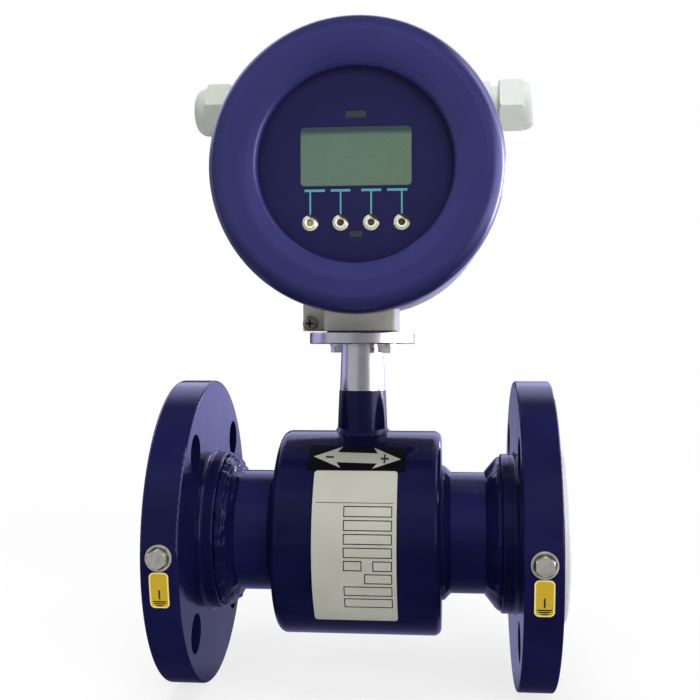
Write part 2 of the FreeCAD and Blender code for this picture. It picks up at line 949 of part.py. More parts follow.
def key_bezels():
    """Conical ring nuts on the panel, each with a sleeve through it that guides the key."""
    hole = key_diameter / 2 + slip_gap
    rings = []
    for centre in key_centres():
        rings.append(turned([
            (ledge_y, hole),
            (bezel_front() + bezel_mouth_bevel, hole),
            (bezel_front(), hole + bezel_mouth_bevel),
            (bezel_front(), bezel_mouth_diameter / 2),
            (panel_front - bezel_edge, bezel_diameter / 2),
            (panel_front, bezel_diameter / 2),
            (panel_front, bezel_sleeve_diameter / 2),
            (ledge_y, bezel_sleeve_diameter / 2),
        ], ey, centre))
    return Part.makeCompound(rings)


def key(centre):
    """A plunger with a collar behind the panel that stops it from falling out."""
    collar_front = ledge_y + close_gap
    collar_back = collar_front + key_collar_thickness
    stem_front = bezel_front() + key_front_recess
    stem = rod(key_diameter / 2, stem_front, collar_front, ey, centre)
    return stem.fuse(rod(key_collar_diameter / 2, collar_front, collar_back, ey, centre))


def display_module():
    width = display_width + 2 * module_margin
    height = display_height + 2 * module_margin
    return slab(width, height, display_corner, ledge_y, display_board_front, head_centre + ez * display_rise)


def pillar_places():
    places = []
    for i in range(pillar_count):
        angle = math.radians(360 / pillar_count * (i + 0.5))
        places.append(head_centre + (ex * math.cos(angle) + ez * math.sin(angle)) * pillar_circle_radius)
    return places


def board(front):
    disc = rod(board_radius, front, front + board_thickness, ey, head_centre)
    for place in pillar_places():
        disc = disc.cut(bored(pillar_stud_diameter / 2 + close_gap, front, front + board_thickness, ey, place))
    return disc


def board_pillars():
    """Stepped pillars from the partition through the main board to the display board."""
    thick = pillar_diameter / 2
    thin = pillar_stud_diameter / 2
    head = pillar_head_diameter / 2
    main_back = main_board_front + board_thickness
    display_back = display_board_front + board_thickness
    pillars = []
    for place in pillar_places():
        pillars.append(turned([
            (partition_front, 0),
            (partition_front, thick),
            (main_back, thick),
            (main_back, thin),
            (main_board_front, thin),
            (main_board_front, thick),
            (display_back, thick),
            (display_back, thin),
            (display_board_front, thin),
            (display_board_front, head),
            (display_board_front - pillar_head_height, head),
            (display_board_front - pillar_head_height, 0),
        ], ey, place))
    return Part.makeCompound(pillars)


def key_switches():
    half = switch_size / 2
    switches = []
    for centre in key_centres():
        front = display_board_front - switch_height
        low = centre + FreeCAD.Vector(-half, front, -half)
        high = centre + FreeCAD.Vector(half, display_board_front, half)
        nub = rod(switch_nub_diameter / 2, front - switch_nub_height, front, ey, centre)
        switches.append(box(low, high).fuse(nub))
    return Part.makeCompound(switches)


def terminal_block():
    middle = head_centre - ez * terminal_drop
    pitch = terminal_width / terminal_count
    block = slab(terminal_width, terminal_height, recess_width, partition_back, partition_back + terminal_depth, middle)
    screws = []
    back = partition_back + terminal_depth
    for i in range(terminal_count):
        centre = middle + ex * (pitch * (i - (terminal_count - 1) / 2))
        end = back - terminal_screw_sink
        start = end - terminal_screw_length
        radius = terminal_screw_diameter / 2
        block = block.cut(rod(radius + close_gap, start, back + recess_overrun, ey, centre))
        slot_low = centre + FreeCAD.Vector(-radius, end - recess_width, -terminal_slot_width / 2)
        slot_high = centre + FreeCAD.Vector(radius, end + recess_overrun, terminal_slot_width / 2)
        screws.append(rod(radius, start, end, ey, centre).cut(box(slot_low, slot_high)))
    return Part.makeCompound([block] + screws)


def gland_body(side):
    axis = ex * side
    centre = gland_centre()
    shank = rod(gland_hole_radius() - close_gap, gland_shank_end, gland_boss_end, axis, centre)
    collar = hexagon(gland_collar_flats, gland_boss_end, gland_collar_end, axis, centre, right_nut_turn,
                     gland_collar_chamfer, True)
    thread = rod(gland_thread_diameter / 2, gland_collar_end, gland_thread_end, axis, centre)
    bore = bored(gland_bore_diameter / 2, gland_shank_end, gland_thread_end, axis, centre)
    return shank.fuse(collar).fuse(thread).cut(bore)


def gland_nut(side, turn):
    axis = ex * side
    centre = gland_centre()
    hex_end = gland_nut_start + gland_nut_hex_length
    skirt = hexagon(gland_nut_flats, gland_nut_start, hex_end, axis, centre, turn, gland_nut_chamfer, True)
    dome_radius = gland_dome_diameter / 2
    dome = turned([
        (gland_nut_start, 0),
        (gland_nut_start, dome_radius),
        (gland_nut_end, dome_radius, gland_dome_round),
        (gland_nut_end, 0),
    ], axis, centre)
    thread_space = gland_thread_diameter / 2 + running_gap
    seal_space = seal_radius() + running_gap
    step = gland_nut_start + gland_nut_thread_depth
    hollow = turned([
        (gland_nut_start - recess_overrun, 0),
        (gland_nut_start - recess_overrun, thread_space),
        (step, thread_space),
        (step, seal_space),
        (gland_nut_end - gland_end_wall, seal_space),
        (gland_nut_end - gland_end_wall, gland_mouth_diameter / 2),
        (gland_nut_end + recess_overrun, gland_mouth_diameter / 2),
        (gland_nut_end + recess_overrun, 0),
    ], axis, centre)
    return skirt.fuse(dome).cut(hollow)


def seal_radius():
    return gland_bore_diameter / 2 - running_gap


def gland_seal(side):
    end = gland_nut_end - gland_end_wall - close_gap
    return tube(seal_radius(), seal_bore_diameter / 2, seal_start, end, ex * side, gland_centre())


def parts():
    nodes = {
        "measuring_tube": measuring_tube(),
        "tube_liner": tube_liner(),
        "inlet_flange": flange(-1),
        "outlet_flange": flange(1),
        "hub_welds": hub_welds(),
        "casing_shell": casing_shell(),
        "casing_end_left": casing_end(-1),
        "casing_end_right": casing_end(1),
        "casing_welds": casing_welds(),
        "neck_tube": neck_tube(),
        "neck_weld": neck_weld(),
        "neck_flange": neck_flange(),
        "neck_gasket": neck_gasket(),
        "neck_bolts": neck_bolts(),
        "neck_washers": neck_washers(),
        "earth_bolts": earth_bolts(),
        "earth_washers": earth_washers(),
        "earth_tags": earth_tags(),
        "rating_plate": rating_plate(),
        "flow_arrow_plate": flow_arrow_plate(),
        "pole_core_top": pole_core(1),
        "pole_core_bottom": pole_core(-1),
        "bobbin_top": bobbin(1),
        "bobbin_bottom": bobbin(-1),
        "coil_top": coil(1),
        "coil_bottom": coil(-1),
        "return_yoke": return_yoke(),
        "electrode_front": electrode(-1),
        "electrode_rear": electrode(1),
        "electrode_bushes": electrode_bushes(),
        "electrode_washers": electrode_washers(),
        "electrode_nuts": electrode_nuts(),
        "lead_bundle": lead_bundle(),
        "lead_plug": lead_plug(),
        "housing": housing(),
        "ear_screw": ear_screw(),
        "front_ring": front_ring(),
        "ring_seal": ring_seal(),
        "rear_cover": rear_cover(),
        "rear_seal": rear_seal(),
        "front_panel": front_panel(),
        "display_lens": display_lens(),
        "window_lenses": window_lenses(),
        "display_module": display_module(),
        "display_board": board(display_board_front),
        "main_board": board(main_board_front),
        "board_pillars": board_pillars(),
        "key_bezels": key_bezels(),
        "key_switches": key_switches(),
        "terminal_block": terminal_block(),
        "gland_body_left": gland_body(-1),
        "gland_body_right": gland_body(1),
        "gland_nut_left": gland_nut(-1, left_nut_turn),
        "gland_nut_right": gland_nut(1, right_nut_turn),
        "gland_seal_left": gland_seal(-1),
        "gland_seal_right": gland_seal(1),
    }
    for i, centre in enumerate(key_centres()):
        nodes[f"key_{i + 1}"] = key(centre)
    return nodes


os.makedirs("parts", exist_ok=True)
for name, shape in parts().items():
    shape.exportStep(f"parts/{name}.step")
    print(name, len(shape.Solids), round(shape.Volume, 1), shape.isValid())
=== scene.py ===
import json
import math
import bmesh
import bpy
from mathutils import Matrix, Vector, noise


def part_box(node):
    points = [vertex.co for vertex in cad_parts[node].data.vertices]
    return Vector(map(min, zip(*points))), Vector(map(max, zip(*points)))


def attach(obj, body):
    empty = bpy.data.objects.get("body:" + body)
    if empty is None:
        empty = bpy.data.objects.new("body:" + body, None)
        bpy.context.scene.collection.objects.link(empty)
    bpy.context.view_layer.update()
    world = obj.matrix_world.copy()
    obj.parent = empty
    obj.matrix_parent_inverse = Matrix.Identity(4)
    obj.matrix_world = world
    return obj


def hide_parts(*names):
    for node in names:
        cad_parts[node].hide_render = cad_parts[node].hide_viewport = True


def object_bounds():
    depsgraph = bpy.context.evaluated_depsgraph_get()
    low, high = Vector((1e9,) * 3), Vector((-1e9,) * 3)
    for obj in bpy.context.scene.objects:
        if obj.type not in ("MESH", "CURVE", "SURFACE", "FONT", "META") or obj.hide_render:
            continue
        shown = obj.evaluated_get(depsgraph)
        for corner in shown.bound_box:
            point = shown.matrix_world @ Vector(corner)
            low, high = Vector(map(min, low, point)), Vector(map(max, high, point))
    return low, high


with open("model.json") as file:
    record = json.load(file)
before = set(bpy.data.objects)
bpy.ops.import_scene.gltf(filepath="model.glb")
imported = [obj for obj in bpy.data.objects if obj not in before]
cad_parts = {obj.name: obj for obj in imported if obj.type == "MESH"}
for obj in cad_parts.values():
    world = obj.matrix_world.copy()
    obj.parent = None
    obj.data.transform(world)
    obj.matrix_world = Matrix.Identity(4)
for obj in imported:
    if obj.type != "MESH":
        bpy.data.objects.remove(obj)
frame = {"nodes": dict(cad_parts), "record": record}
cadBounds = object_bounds()
millimetre = 0.001
print("frame loaded:", len(frame["nodes"]), "nodes")

# where the main forms lie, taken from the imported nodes
axisX = Vector((1, 0, 0))
axisY = Vector((0, 1, 0))
axisZ = Vector((0, 0, 1))
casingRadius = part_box("casing_shell")[1].z
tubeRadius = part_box("measuring_tube")[1].z
panelLow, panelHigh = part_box("front_panel")
panelFront = panelLow.y
headCentre = (panelLow + panelHigh) / 2
floorLevel = cadBounds[0][2]
keyPitch = 14.5
printThickness = 0.03


def sideways(axis):
    # the direction in which radii are drawn for an axis
    return axisX if abs(axis.z) > 0.5 else axisZ


def addProfile(bm, corners, axis, centre, closed=True):
    # (along, radius, rounding) corners become a wire beside the axis, in millimetres
    side = sideways(axis)
    verts = []
    for corner in corners:
        spot = centre + (axis * corner[0] + side * corner[1]) * millimetre
        verts.append(bm.verts.new(spot))
    edges = [bm.edges.new((verts[i], verts[i + 1])) for i in range(len(verts) - 1)]
    if closed:
        edges.append(bm.edges.new((verts[-1], verts[0])))
    for vert, corner in zip(verts, corners):
        if len(corner) > 2:
            bmesh.ops.bevel(bm, geom=[vert], offset=corner[2] * millimetre, segments=6, profile=0.5,
                            affect="VERTICES", material=-1)
    return list(bm.verts), list(bm.edges)


def spinProfile(bm, corners, axis, centre=Vector(), steps=96, closed=True):
    verts, edges = addProfile(bm, corners, axis, centre, closed)
    bmesh.ops.spin(bm, geom=verts + edges, cent=centre, axis=axis, dvec=(0, 0, 0), angle=2 * math.pi,
                   steps=steps, use_merge=True, use_duplicate=False)
    bmesh.ops.remove_doubles(bm, verts=bm.verts, dist=1e-7)


def addBlock(bm, low, high):
    made = bmesh.ops.create_cube(bm, size=1.0)
    size = high - low
    bmesh.ops.scale(bm, vec=size, verts=made["verts"])
    bmesh.ops.translate(bm, vec=(low + high) / 2, verts=made["verts"])
    return made["verts"]


def finishPiece(bm, name, material, body="meter", replaced=(), smooth=30):
    bmesh.ops.remove_doubles(bm, verts=bm.verts, dist=1e-7)
    bmesh.ops.recalc_face_normals(bm, faces=bm.faces)
    for face in bm.faces:
        face.smooth = True
    for edge in bm.edges:
        if len(edge.link_faces) == 2 and edge.calc_face_angle(0) > math.radians(smooth):
            edge.smooth = False
    mesh = bpy.data.meshes.new(name)
    bm.to_mesh(mesh)
    bm.free()
    piece = bpy.data.objects.new(name, mesh)
    bpy.context.scene.collection.objects.link(piece)
    mesh.materials.append(material)
    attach(piece, body)
    if replaced:
        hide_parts(*replaced)
    print("piece", name, len(mesh.polygons), "faces")
    return piece


def addNode(material, kind, values=None, links=None):
    made = material.node_tree.nodes.new(kind)
    for name, value in (values or {}).items():
        if isinstance(name, int) or name in made.inputs:
            made.inputs[name].default_value = value
        else:
            setattr(made, name, value)
    for name, source in (links or {}).items():
        material.node_tree.links.new(source, made.inputs[name])
    return made


def combine(material, operation, *terms):
    # each term is a number or a socket
    made = addNode(material, "ShaderNodeMath", {"operation": operation})
    for i, term in enumerate(terms):
        if isinstance(term, (int, float)):
            made.inputs[i].default_value = term
        else:
            material.node_tree.links.new(term, made.inputs[i])
    return made.outputs[0]


def splitAxes(material, vector):
    return addNode(material, "ShaderNodeSeparateXYZ", links={"Vector": vector}).outputs


def startMaterial(name, values):
    material = bpy.data.materials.new(name)
    material.use_nodes = True
    shader = material.node_tree.nodes["Principled BSDF"]
    for key, value in values.items():
        shader.inputs[key].default_value = value
    coords = addNode(material, "ShaderNodeTexCoord")
    return material, shader, coords.outputs["Object"]


def rgba(color, share=1.0):
    return (color[0] * share, color[1] * share, color[2] * share, 1.0)


def rampBetween(material, source, stops):
    ramp = addNode(material, "ShaderNodeValToRGB", links={"Fac": source})
    elements = ramp.color_ramp.elements
    while len(elements) < len(stops):
        elements.new(0.5)
    for element, (place, color) in zip(elements, stops):
        element.position = place
        element.color = color
    return ramp.outputs["Color"]


def mixColors(material, share, first, second):
    # each colour is a tuple or a socket
    mixed = addNode(material, "ShaderNodeMix", {"data_type": "RGBA"})
    material.node_tree.links.new(share, mixed.inputs[0])
    for socket, color in ((mixed.inputs[6], first), (mixed.inputs[7], second)):
        if isinstance(color, tuple):
            socket.default_value = rgba(color)
        else:
            material.node_tree.links.new(color, socket)
    return mixed.outputs[2]


def noiseField(material, coords, scale, detail=3.0, stretch=(1, 1, 1), roughness=0.5):
    mapping = addNode(material, "ShaderNodeMapping", {"Scale": stretch}, {"Vector": coords})
    values = {"Scale": scale, "Detail": detail, "Roughness": roughness}
    field = addNode(material, "ShaderNodeTexNoise", values, {"Vector": mapping.outputs["Vector"]})
    return field.outputs["Fac"]


def spread(material, source, low, high, fromLow=0.3, fromHigh=0.7):
    values = {"From Min": fromLow, "From Max": fromHigh, "To Min": low, "To Max": high}
    return addNode(material, "ShaderNodeMapRange", values, {"Value": source}).outputs["Result"]


def bumpWith(material, shader, height, depth, before=None):
    links = {"Height": height}
    if before:
        links["Normal"] = before
    bump = addNode(material, "ShaderNodeBump", {"Strength": 1.0, "Distance": depth * millimetre}, links)
    material.node_tree.links.new(bump.outputs["Normal"], shader.inputs["Normal"])
    return bump.outputs["Normal"]


def toSocket(material, source, shader, socket):
    material.node_tree.links.new(source, shader.inputs[socket])


def mottle(material, shader, field, color, shares, places=(0.3, 0.7)):
    # the base colour runs between two shares of one tone
    stops = [(place, rgba(color, share)) for place, share in zip(places, shares)]
    toSocket(material, rampBetween(material, field, stops), shader, "Base Color")


def roughen(material, shader, field, roughness):
    toSocket(material, spread(material, field, *roughness), shader, "Roughness")


def radiusField(material, coords, axis):
    # distance from an axis through the object's origin, in metres
    keep = {"x": (0, 1, 1), "y": (1, 0, 1), "z": (1, 1, 0)}[axis]
    flat = addNode(material, "ShaderNodeVectorMath", {"operation": "MULTIPLY", 1: keep}, {0: coords})
    length = addNode(material, "ShaderNodeVectorMath", {"operation": "LENGTH"}, {0: flat.outputs[0]})
    return length.outputs["Value"]


def radiusAbout(material, coords, centre, axis):
    moved = addNode(material, "ShaderNodeVectorMath", {"operation": "SUBTRACT", 1: centre}, {0: coords})
    return radiusField(material, moved.outputs["Vector"], axis)


enamelLook = {"color": (0.0046, 0.0046, 0.0320), "shares": (0.78, 1.36), "places": (0.32, 0.68),
              "roughness": (0.09, 0.15), "specular": 0.20, "tint": (0.78, 0.78, 1.0, 1.0),
              "cloudSize": 34, "wipeSize": 90, "peelSize": 480, "peelDepth": 0.014}


def glossEnamel(name="bodyEnamel", sagSize=42, sagDepth=0.10, share=1.0):
    # deep gloss with soft runs and a fine orange peel
    look = enamelLook
    material, shader, coords = startMaterial(name, {
        "Specular IOR Level": look["specular"], "Specular Tint": look["tint"]})
    cloud = noiseField(material, coords, look["cloudSize"], 4, (0.5, 1, 1))
    # a share above 1 gives a lighter copy of the same paint, which is painted light
    shares = [part * share for part in look["shares"]]
    mottle(material, shader, cloud, look["color"], shares, look["places"])
    wipe = noiseField(material, coords, look["wipeSize"], 5, (1, 1, 0.35))
    roughen(material, shader, wipe, look["roughness"])
    sag = noiseField(material, coords, sagSize, 2)
    peel = noiseField(material, coords, look["peelSize"], 2)
    first = bumpWith(material, shader, sag, sagDepth)
    bumpWith(material, shader, peel, look["peelDepth"], first)
    return material


ringLook = {"color": (0.0270, 0.0272, 0.115), "low": 0.92, "high": 1.08, "roughness": (0.15, 0.22),
            "specular": 0.58, "tint": (0.50, 0.50, 1.0, 1.0), "cloudSize": 34, "wipeSize": 160,
            "grainSize": 1500, "grainDepth": 0.010, "edgeShadeShare": 0.42, "edgeShadeRun": 8.0}


def satinEnamel():
    # a satin ring with painted shade that darkens it towards its outer edge
    look = ringLook
    material, shader, coords = startMaterial("ringEnamel", {
        "Specular IOR Level": look["specular"], "Specular Tint": look["tint"]})
    cloud = noiseField(material, coords, look["cloudSize"], 4)
    color = look["color"]
    face = rampBetween(material, cloud, [(0.30, rgba(color, look["low"])), (0.70, rgba(color, look["high"]))])
    low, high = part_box("front_ring")
    outer = (high.x - low.x) / 2
    radius = radiusAbout(material, coords, (low + high) / 2, "y")
    # painted shade: over the outer band the colour is mixed into a darker copy of itself
    share = spread(material, radius, 0, 1, outer - look["edgeShadeRun"] * millimetre, outer)
    edge = tuple(value * look["edgeShadeShare"] for value in color)
    toSocket(material, mixColors(material, share, face, edge), shader, "Base Color")
    roughen(material, shader, noiseField(material, coords, look["wipeSize"], 4), look["roughness"])
    bumpWith(material, shader, noiseField(material, coords, look["grainSize"], 2), look["grainDepth"])
    return material


castLook = {"color": (0.47, 0.465, 0.425), "shares": (0.975, 1.025), "places": (0.28, 0.72),
            "roughness": (0.36, 0.50), "specular": 0.45, "cloudSize": 45, "wipeSize": 220,
            "grainSize": 900, "grainDepth": 0.05}


def paintedCasting():
    # matt paint over a sand cast skin
    look = castLook
    material, shader, coords = startMaterial("castingPaint", {"Specular IOR Level": look["specular"]})
    cloud = noiseField(material, coords, look["cloudSize"], 5)
    mottle(material, shader, cloud, look["color"], look["shares"], look["places"])
    roughen(material, shader, noiseField(material, coords, look["wipeSize"], 4), look["roughness"])
    bumpWith(material, shader, noiseField(material, coords, look["grainSize"], 3), look["grainDepth"])
    return material


steelLook = {"shares": (0.86, 1.05), "cloudSize": 70, "lineSize": 2600, "lineDepth": 0.004}


def turnedSteel(name="turnedSteel", color=(0.72, 0.715, 0.71), roughness=(0.14, 0.26), axis="z",
                metallic=1.0):
    # fine turning lines run round the axis
    material, shader, coords = startMaterial(name, {"Metallic": metallic})
    radius = radiusField(material, coords, axis)
    along = splitAxes(material, coords)[axis.upper()]
    joined = addNode(material, "ShaderNodeCombineXYZ", links={"X": radius, "Y": along})
    lines = noiseField(material, joined.outputs["Vector"], steelLook["lineSize"], 3)
    cloud = noiseField(material, coords, steelLook["cloudSize"], 4)
    mottle(material, shader, cloud, color, steelLook["shares"])
    roughen(material, shader, lines, roughness)
    bumpWith(material, shader, lines, steelLook["lineDepth"])
    return material


forgedLook = {"shares": (0.80, 1.12), "cloudSize": 420, "fleckSize": 900}


def forgedSteel(name, color, roughness, metallic, grain):
    # a dull bright fastener, mottled by handling
    material, shader, coords = startMaterial(name, {"Metallic": metallic})
    cloud = noiseField(material, coords, forgedLook["cloudSize"], 4)
    mottle(material, shader, cloud, color, forgedLook["shares"])
    roughen(material, shader, noiseField(material, coords, forgedLook["fleckSize"], 4), roughness)
    bumpWith(material, shader, noiseField(material, coords, grain[0], 3), grain[1])
    return material


washerLook = {"bright": (0.88, 0.86, 0.72), "paintedShade": (0.09, 0.085, 0.07), "metallic": 0.62, "start": 4.6,
              "end": 5.8, "shadeWander": 1.6, "roughness": (0.12, 0.22), "cloudSize": 300, "grainSize": 520,
              "grainDepth": 0.02}


def washerSteel():
    # a bright washer with painted contact shade where the bolt head stands on it
    look = washerLook
    material, shader, coords = startMaterial("washerSteel", {"Metallic": look["metallic"]})
    low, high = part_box("earth_washers")
    axes = splitAxes(material, coords)
    reach = high.x - (high.z - low.z) / 2
    across = combine(material, "ADD", combine(material, "ABSOLUTE", axes["X"]), -reach)
    rise = combine(material, "ADD", axes["Z"], -(low.z + high.z) / 2)
    flat = addNode(material, "ShaderNodeCombineXYZ", links={"X": across, "Y": rise})
    radius = addNode(material, "ShaderNodeVectorMath", {"operation": "LENGTH"}, {0: flat.outputs[0]})
    cloud = noiseField(material, coords, look["cloudSize"], 3)
    # painted contact shade: dark close to the bolt head, bright further out, with a ragged boundary
    shadeWander = combine(material, "MULTIPLY_ADD", cloud, look["shadeWander"] * millimetre, radius.outputs["Value"])
    middle = look["shadeWander"] / 2
    share = spread(material, shadeWander, 0, 1, (look["start"] + middle) * millimetre,
                   (look["end"] + middle) * millimetre)
    toSocket(material, mixColors(material, share, look["paintedShade"], look["bright"]), shader, "Base Color")
    roughen(material, shader, cloud, look["roughness"])
    bumpWith(material, shader, noiseField(material, coords, look["grainSize"], 3), look["grainDepth"])
    return material


keyFaceLook = {"rimShade": (0.030, 0.026, 0.022), "middle": (0.13, 0.105, 0.08), "brass": (0.62, 0.56, 0.30),
               "metallic": 0.6, "edge": 0.55, "edgeShadeRun": 0.12, "roughness": (0.22, 0.34), "fleckSize": 900,
               "grainSize": 1500, "grainDepth": 0.006}


def keyFace(name, node, middle):
    # painted shade round the edge of the key's end, where its recess in the bezel is shaded; paler in its
    # middle
    look = keyFaceLook
    material, shader, coords = startMaterial(name, {"Metallic": look["metallic"]})
    low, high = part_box(node)
    radius = radiusAbout(material, coords, (low + high) / 2, "y")
    reach = (high.x - low.x) / 2
    # painted shade: towards the edge of the key's end the colour is mixed into the dark rim tone
    share = spread(material, radius, 0, 1, reach * look["edge"], reach * (look["edge"] + look["edgeShadeRun"]))
    toSocket(material, mixColors(material, share, middle, look["rimShade"]), shader, "Base Color")
    roughen(material, shader, noiseField(material, coords, look["fleckSize"], 3), look["roughness"])
    bumpWith(material, shader, noiseField(material, coords, look["grainSize"], 2), look["grainDepth"])
    return material


bezelLook = {"bright": (1.0, 0.98, 0.80), "paintedShade": (0.05, 0.045, 0.03), "metallic": 0.30, "start": 1.9,
             "end": 3.0, "radius": 3.8, "shadeLean": 0.75, "ripple": 3.4, "rippleSize": 420,
             "roughness": (0.10, 0.20), "fleckSize": 900, "grainSize": 1500, "grainDepth": 0.004}


def bezelNickel():
    # plated rims with a painted highlight on the lower left and painted dark reflection on the upper right of
    # each
    look = bezelLook
    material, shader, coords = startMaterial("bezelNickel", {"Metallic": look["metallic"]})
    low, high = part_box("key_bezels")
    half = keyPitch / 2 * millimetre
    axes = splitAxes(material, coords)
    shifted = combine(material, "ADD", axes["X"], half - low.x - look["radius"] * millimetre)
    across = combine(material, "WRAP", shifted, 2 * half, 0.0)
    ripple = noiseField(material, coords, look["rippleSize"], 3)
    rise = combine(material, "MULTIPLY_ADD", ripple, look["ripple"] * millimetre, axes["Z"])
    # painted light and shade: a slanted split across each bezel, near white below left, dark above right
    shadeLean = combine(material, "MULTIPLY_ADD", across, look["shadeLean"], rise)
    middle = (low.z + high.z) / 2 + look["shadeLean"] * half + look["ripple"] / 2 * millimetre
    share = spread(material, shadeLean, 0, 1, middle + look["start"] * millimetre,
                   middle + look["end"] * millimetre)
    toSocket(material, mixColors(material, share, look["bright"], look["paintedShade"]), shader, "Base Color")
    roughen(material, shader, noiseField(material, coords, look["fleckSize"], 3), look["roughness"])
    bumpWith(material, shader, noiseField(material, coords, look["grainSize"], 2), look["grainDepth"])
    return material


plasticLook = {"cloudSize": 60, "wipeSize": 260}


def plainPlastic(name, color, roughness=(0.32, 0.45), grain=(1400, 0.01), values=None, change=0.05):
    material, shader, coords = startMaterial(name, values or {})
    cloud = noiseField(material, coords, plasticLook["cloudSize"], 4)
    mottle(material, shader, cloud, color, (1 - change, 1 + change))
    roughen(material, shader, noiseField(material, coords, plasticLook["wipeSize"], 4), roughness)
    bumpWith(material, shader, noiseField(material, coords, grain[0], 2), grain[1])
    return material


windingLook = {"color": (0.48, 0.17, 0.06), "shares": (0.8, 1.15), "metallic": 0.6, "roughness": 0.32,
               "cloudSize": 300, "wirePitch": 0.35, "wireDepth": 0.06}


def copperWinding():
    # close turns of lacquered wire
    look = windingLook
    material, shader, coords = startMaterial("windingWire", {
        "Metallic": look["metallic"], "Roughness": look["roughness"]})
    turnsPerMetre = 2 * math.pi / (look["wirePitch"] * millimetre)
    turns = combine(material, "SINE",
                    combine(material, "MULTIPLY", splitAxes(material, coords)["Z"], turnsPerMetre))
    cloud = noiseField(material, coords, look["cloudSize"], 3)
    mottle(material, shader, cloud, look["color"], look["shares"])
    bumpWith(material, shader, turns, look["wireDepth"])
    return material


boardLook = {"track": (0.05, 0.20, 0.09, 1), "field": (0.02, 0.11, 0.05, 1), "cellSize": 260,
             "specular": 0.5, "roughness": (0.25, 0.4), "wipeSize": 400, "depth": 0.02}


def circuitBoard():
    look = boardLook
    material, shader, coords = startMaterial("boardLaminate", {"Specular IOR Level": look["specular"]})
    cells = addNode(material, "ShaderNodeTexVoronoi", {"Scale": look["cellSize"]}, {"Vector": coords})
    cells.feature = "DISTANCE_TO_EDGE"
    stops = [(0.03, look["track"]), (0.06, look["field"])]
    toSocket(material, rampBetween(material, cells.outputs["Distance"], stops), shader, "Base Color")
    roughen(material, shader, noiseField(material, coords, look["wipeSize"], 3), look["roughness"])
    bumpWith(material, shader, cells.outputs["Distance"], look["depth"])
    return material


crystalLook = {"face": (0.098, 0.166, 0.128), "olive": (0.116, 0.166, 0.088),
               "topShadow": (0.034, 0.060, 0.066), "shadowStart": 0.87, "shadowRun": 0.075, "shadowRagged": 0.04,
               "specular": 0.30, "roughness": (0.22, 0.34), "speckleSize": 1300, "speckleDepth": 0.003,
               "cloudSize": 55}


def liquidCrystal(name, node):
    # a grey green cell with a painted shadow along its top edge and an olive cloud towards one side
    look = crystalLook
    material, shader, coords = startMaterial(name, {"Specular IOR Level": look["specular"]})
    low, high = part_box(node)
    axes = splitAxes(material, coords)
    height = spread(material, axes["Z"], 0, 1, low.z, high.z)
    across = spread(material, axes["X"], 0, 1, low.x, high.x)
    speckle = noiseField(material, coords, look["speckleSize"], 3)
    cloud = noiseField(material, coords, look["cloudSize"], 3)
    tint = combine(material, "MULTIPLY", cloud, across)
    face = mixColors(material, tint, look["face"], look["olive"])
    # painted shadow: a ragged dark band across the top of the cell
    both = combine(material, "MULTIPLY_ADD", speckle, look["shadowRagged"], height)
    start = look["shadowStart"]
    share = rampBetween(material, both, [(start, (0, 0, 0, 1)), (start + look["shadowRun"], (1, 1, 1, 1))])
    toSocket(material, mixColors(material, share, face, look["topShadow"]), shader, "Base Color")
    roughen(material, shader, speckle, look["roughness"])
    bumpWith(material, shader, speckle, look["speckleDepth"])
    return material


print("helpers ready")
finishes = {
    "body_paint": glossEnamel(),
    "ring_paint": satinEnamel(),
    "housing_paint": paintedCasting(),
    "stainless": turnedSteel(),
    "liner_white": plainPlastic("linerPlastic", (0.80, 0.80, 0.77), (0.35, 0.5)),
    "core_steel": turnedSteel("coreSteel", (0.34, 0.34, 0.35), (0.35, 0.5), "x"),
    "bobbin_plastic": plainPlastic("bobbinPlastic", (0.015, 0.015, 0.015)),
    "winding": copperWinding(),
    "lead_sheath": plainPlastic("leadSheath", (0.10, 0.10, 0.105), (0.4, 0.55)),
    "seal_rubber": plainPlastic("sealRubber", (0.012, 0.012, 0.013), (0.5, 0.65), (900, 0.02)),
    "plate_silver": plainPlastic("ratingPlateFoil", (0.478, 0.474, 0.40), (0.34, 0.46), (1800, 0.004),
                                 {"Metallic": 0.15}, 0.05),
    "plate_black": plainPlastic("arrowPlateBlack", (0.0022, 0.0022, 0.003), (0.40, 0.55), (1800, 0.004),
                                {"Specular IOR Level": 0.08}),
    "tag_yellow": plainPlastic("tagYellow", (0.52, 0.345, 0.014), (0.30, 0.42), (1800, 0.006),
                               {"Specular IOR Level": 0.25}),
    "panel_blue": plainPlastic("panelFilm", (0.0108, 0.0100, 0.0600), (0.45, 0.6), (2600, 0.005),
                               {"Specular IOR Level": 0.25}, 0.06),
    "display_window": liquidCrystal("displayFace", "display_lens"),
    "small_window": plainPlastic("smallWindowTint", (0.026, 0.038, 0.042), (0.22, 0.32), (1800, 0.003)),
    "display_grey": liquidCrystal("displayCell", "display_module"),
    "board_green": circuitBoard(),
    "switch_black": plainPlastic("switchBlack", (0.012, 0.012, 0.012), (0.35, 0.5)),
    "nickel": turnedSteel("nickelPlate", (0.92, 0.86, 0.64), (0.10, 0.18), "y", 0.85),
    "terminal_green": plainPlastic("terminalPlastic", (0.03, 0.17, 0.05), (0.32, 0.45)),
    "gland_plastic": plainPlastic("glandPlastic", (0.60, 0.63, 0.595), (0.30, 0.42), (1200, 0.012)),
}
# the welds' paint is a lighter copy of the body paint, painted light; its rougher bumps are the weld's own
weldEnamelPaintedLight = glossEnamel("weldEnamelPaintedLight", 190, 0.16, 1.3)
recessShade = plainPlastic("recessShade", (0.010, 0.009, 0.008), (0.5, 0.7), (1200, 0.02))
printInk = plainPlastic("printInk", (0.009, 0.009, 0.011), (0.35, 0.5), (2000, 0.002))
printTeal = plainPlastic("printTeal", (0.085, 0.33, 0.33), (0.35, 0.5), (2000, 0.002))
printSilver = plainPlastic("printSilver", (0.37, 0.38, 0.32), (0.34, 0.46), (2000, 0.002), {"Metallic": 0.15})
tagPale = plainPlastic("tagPale", (0.80, 0.70, 0.24), (0.35, 0.5), (2000, 0.002))

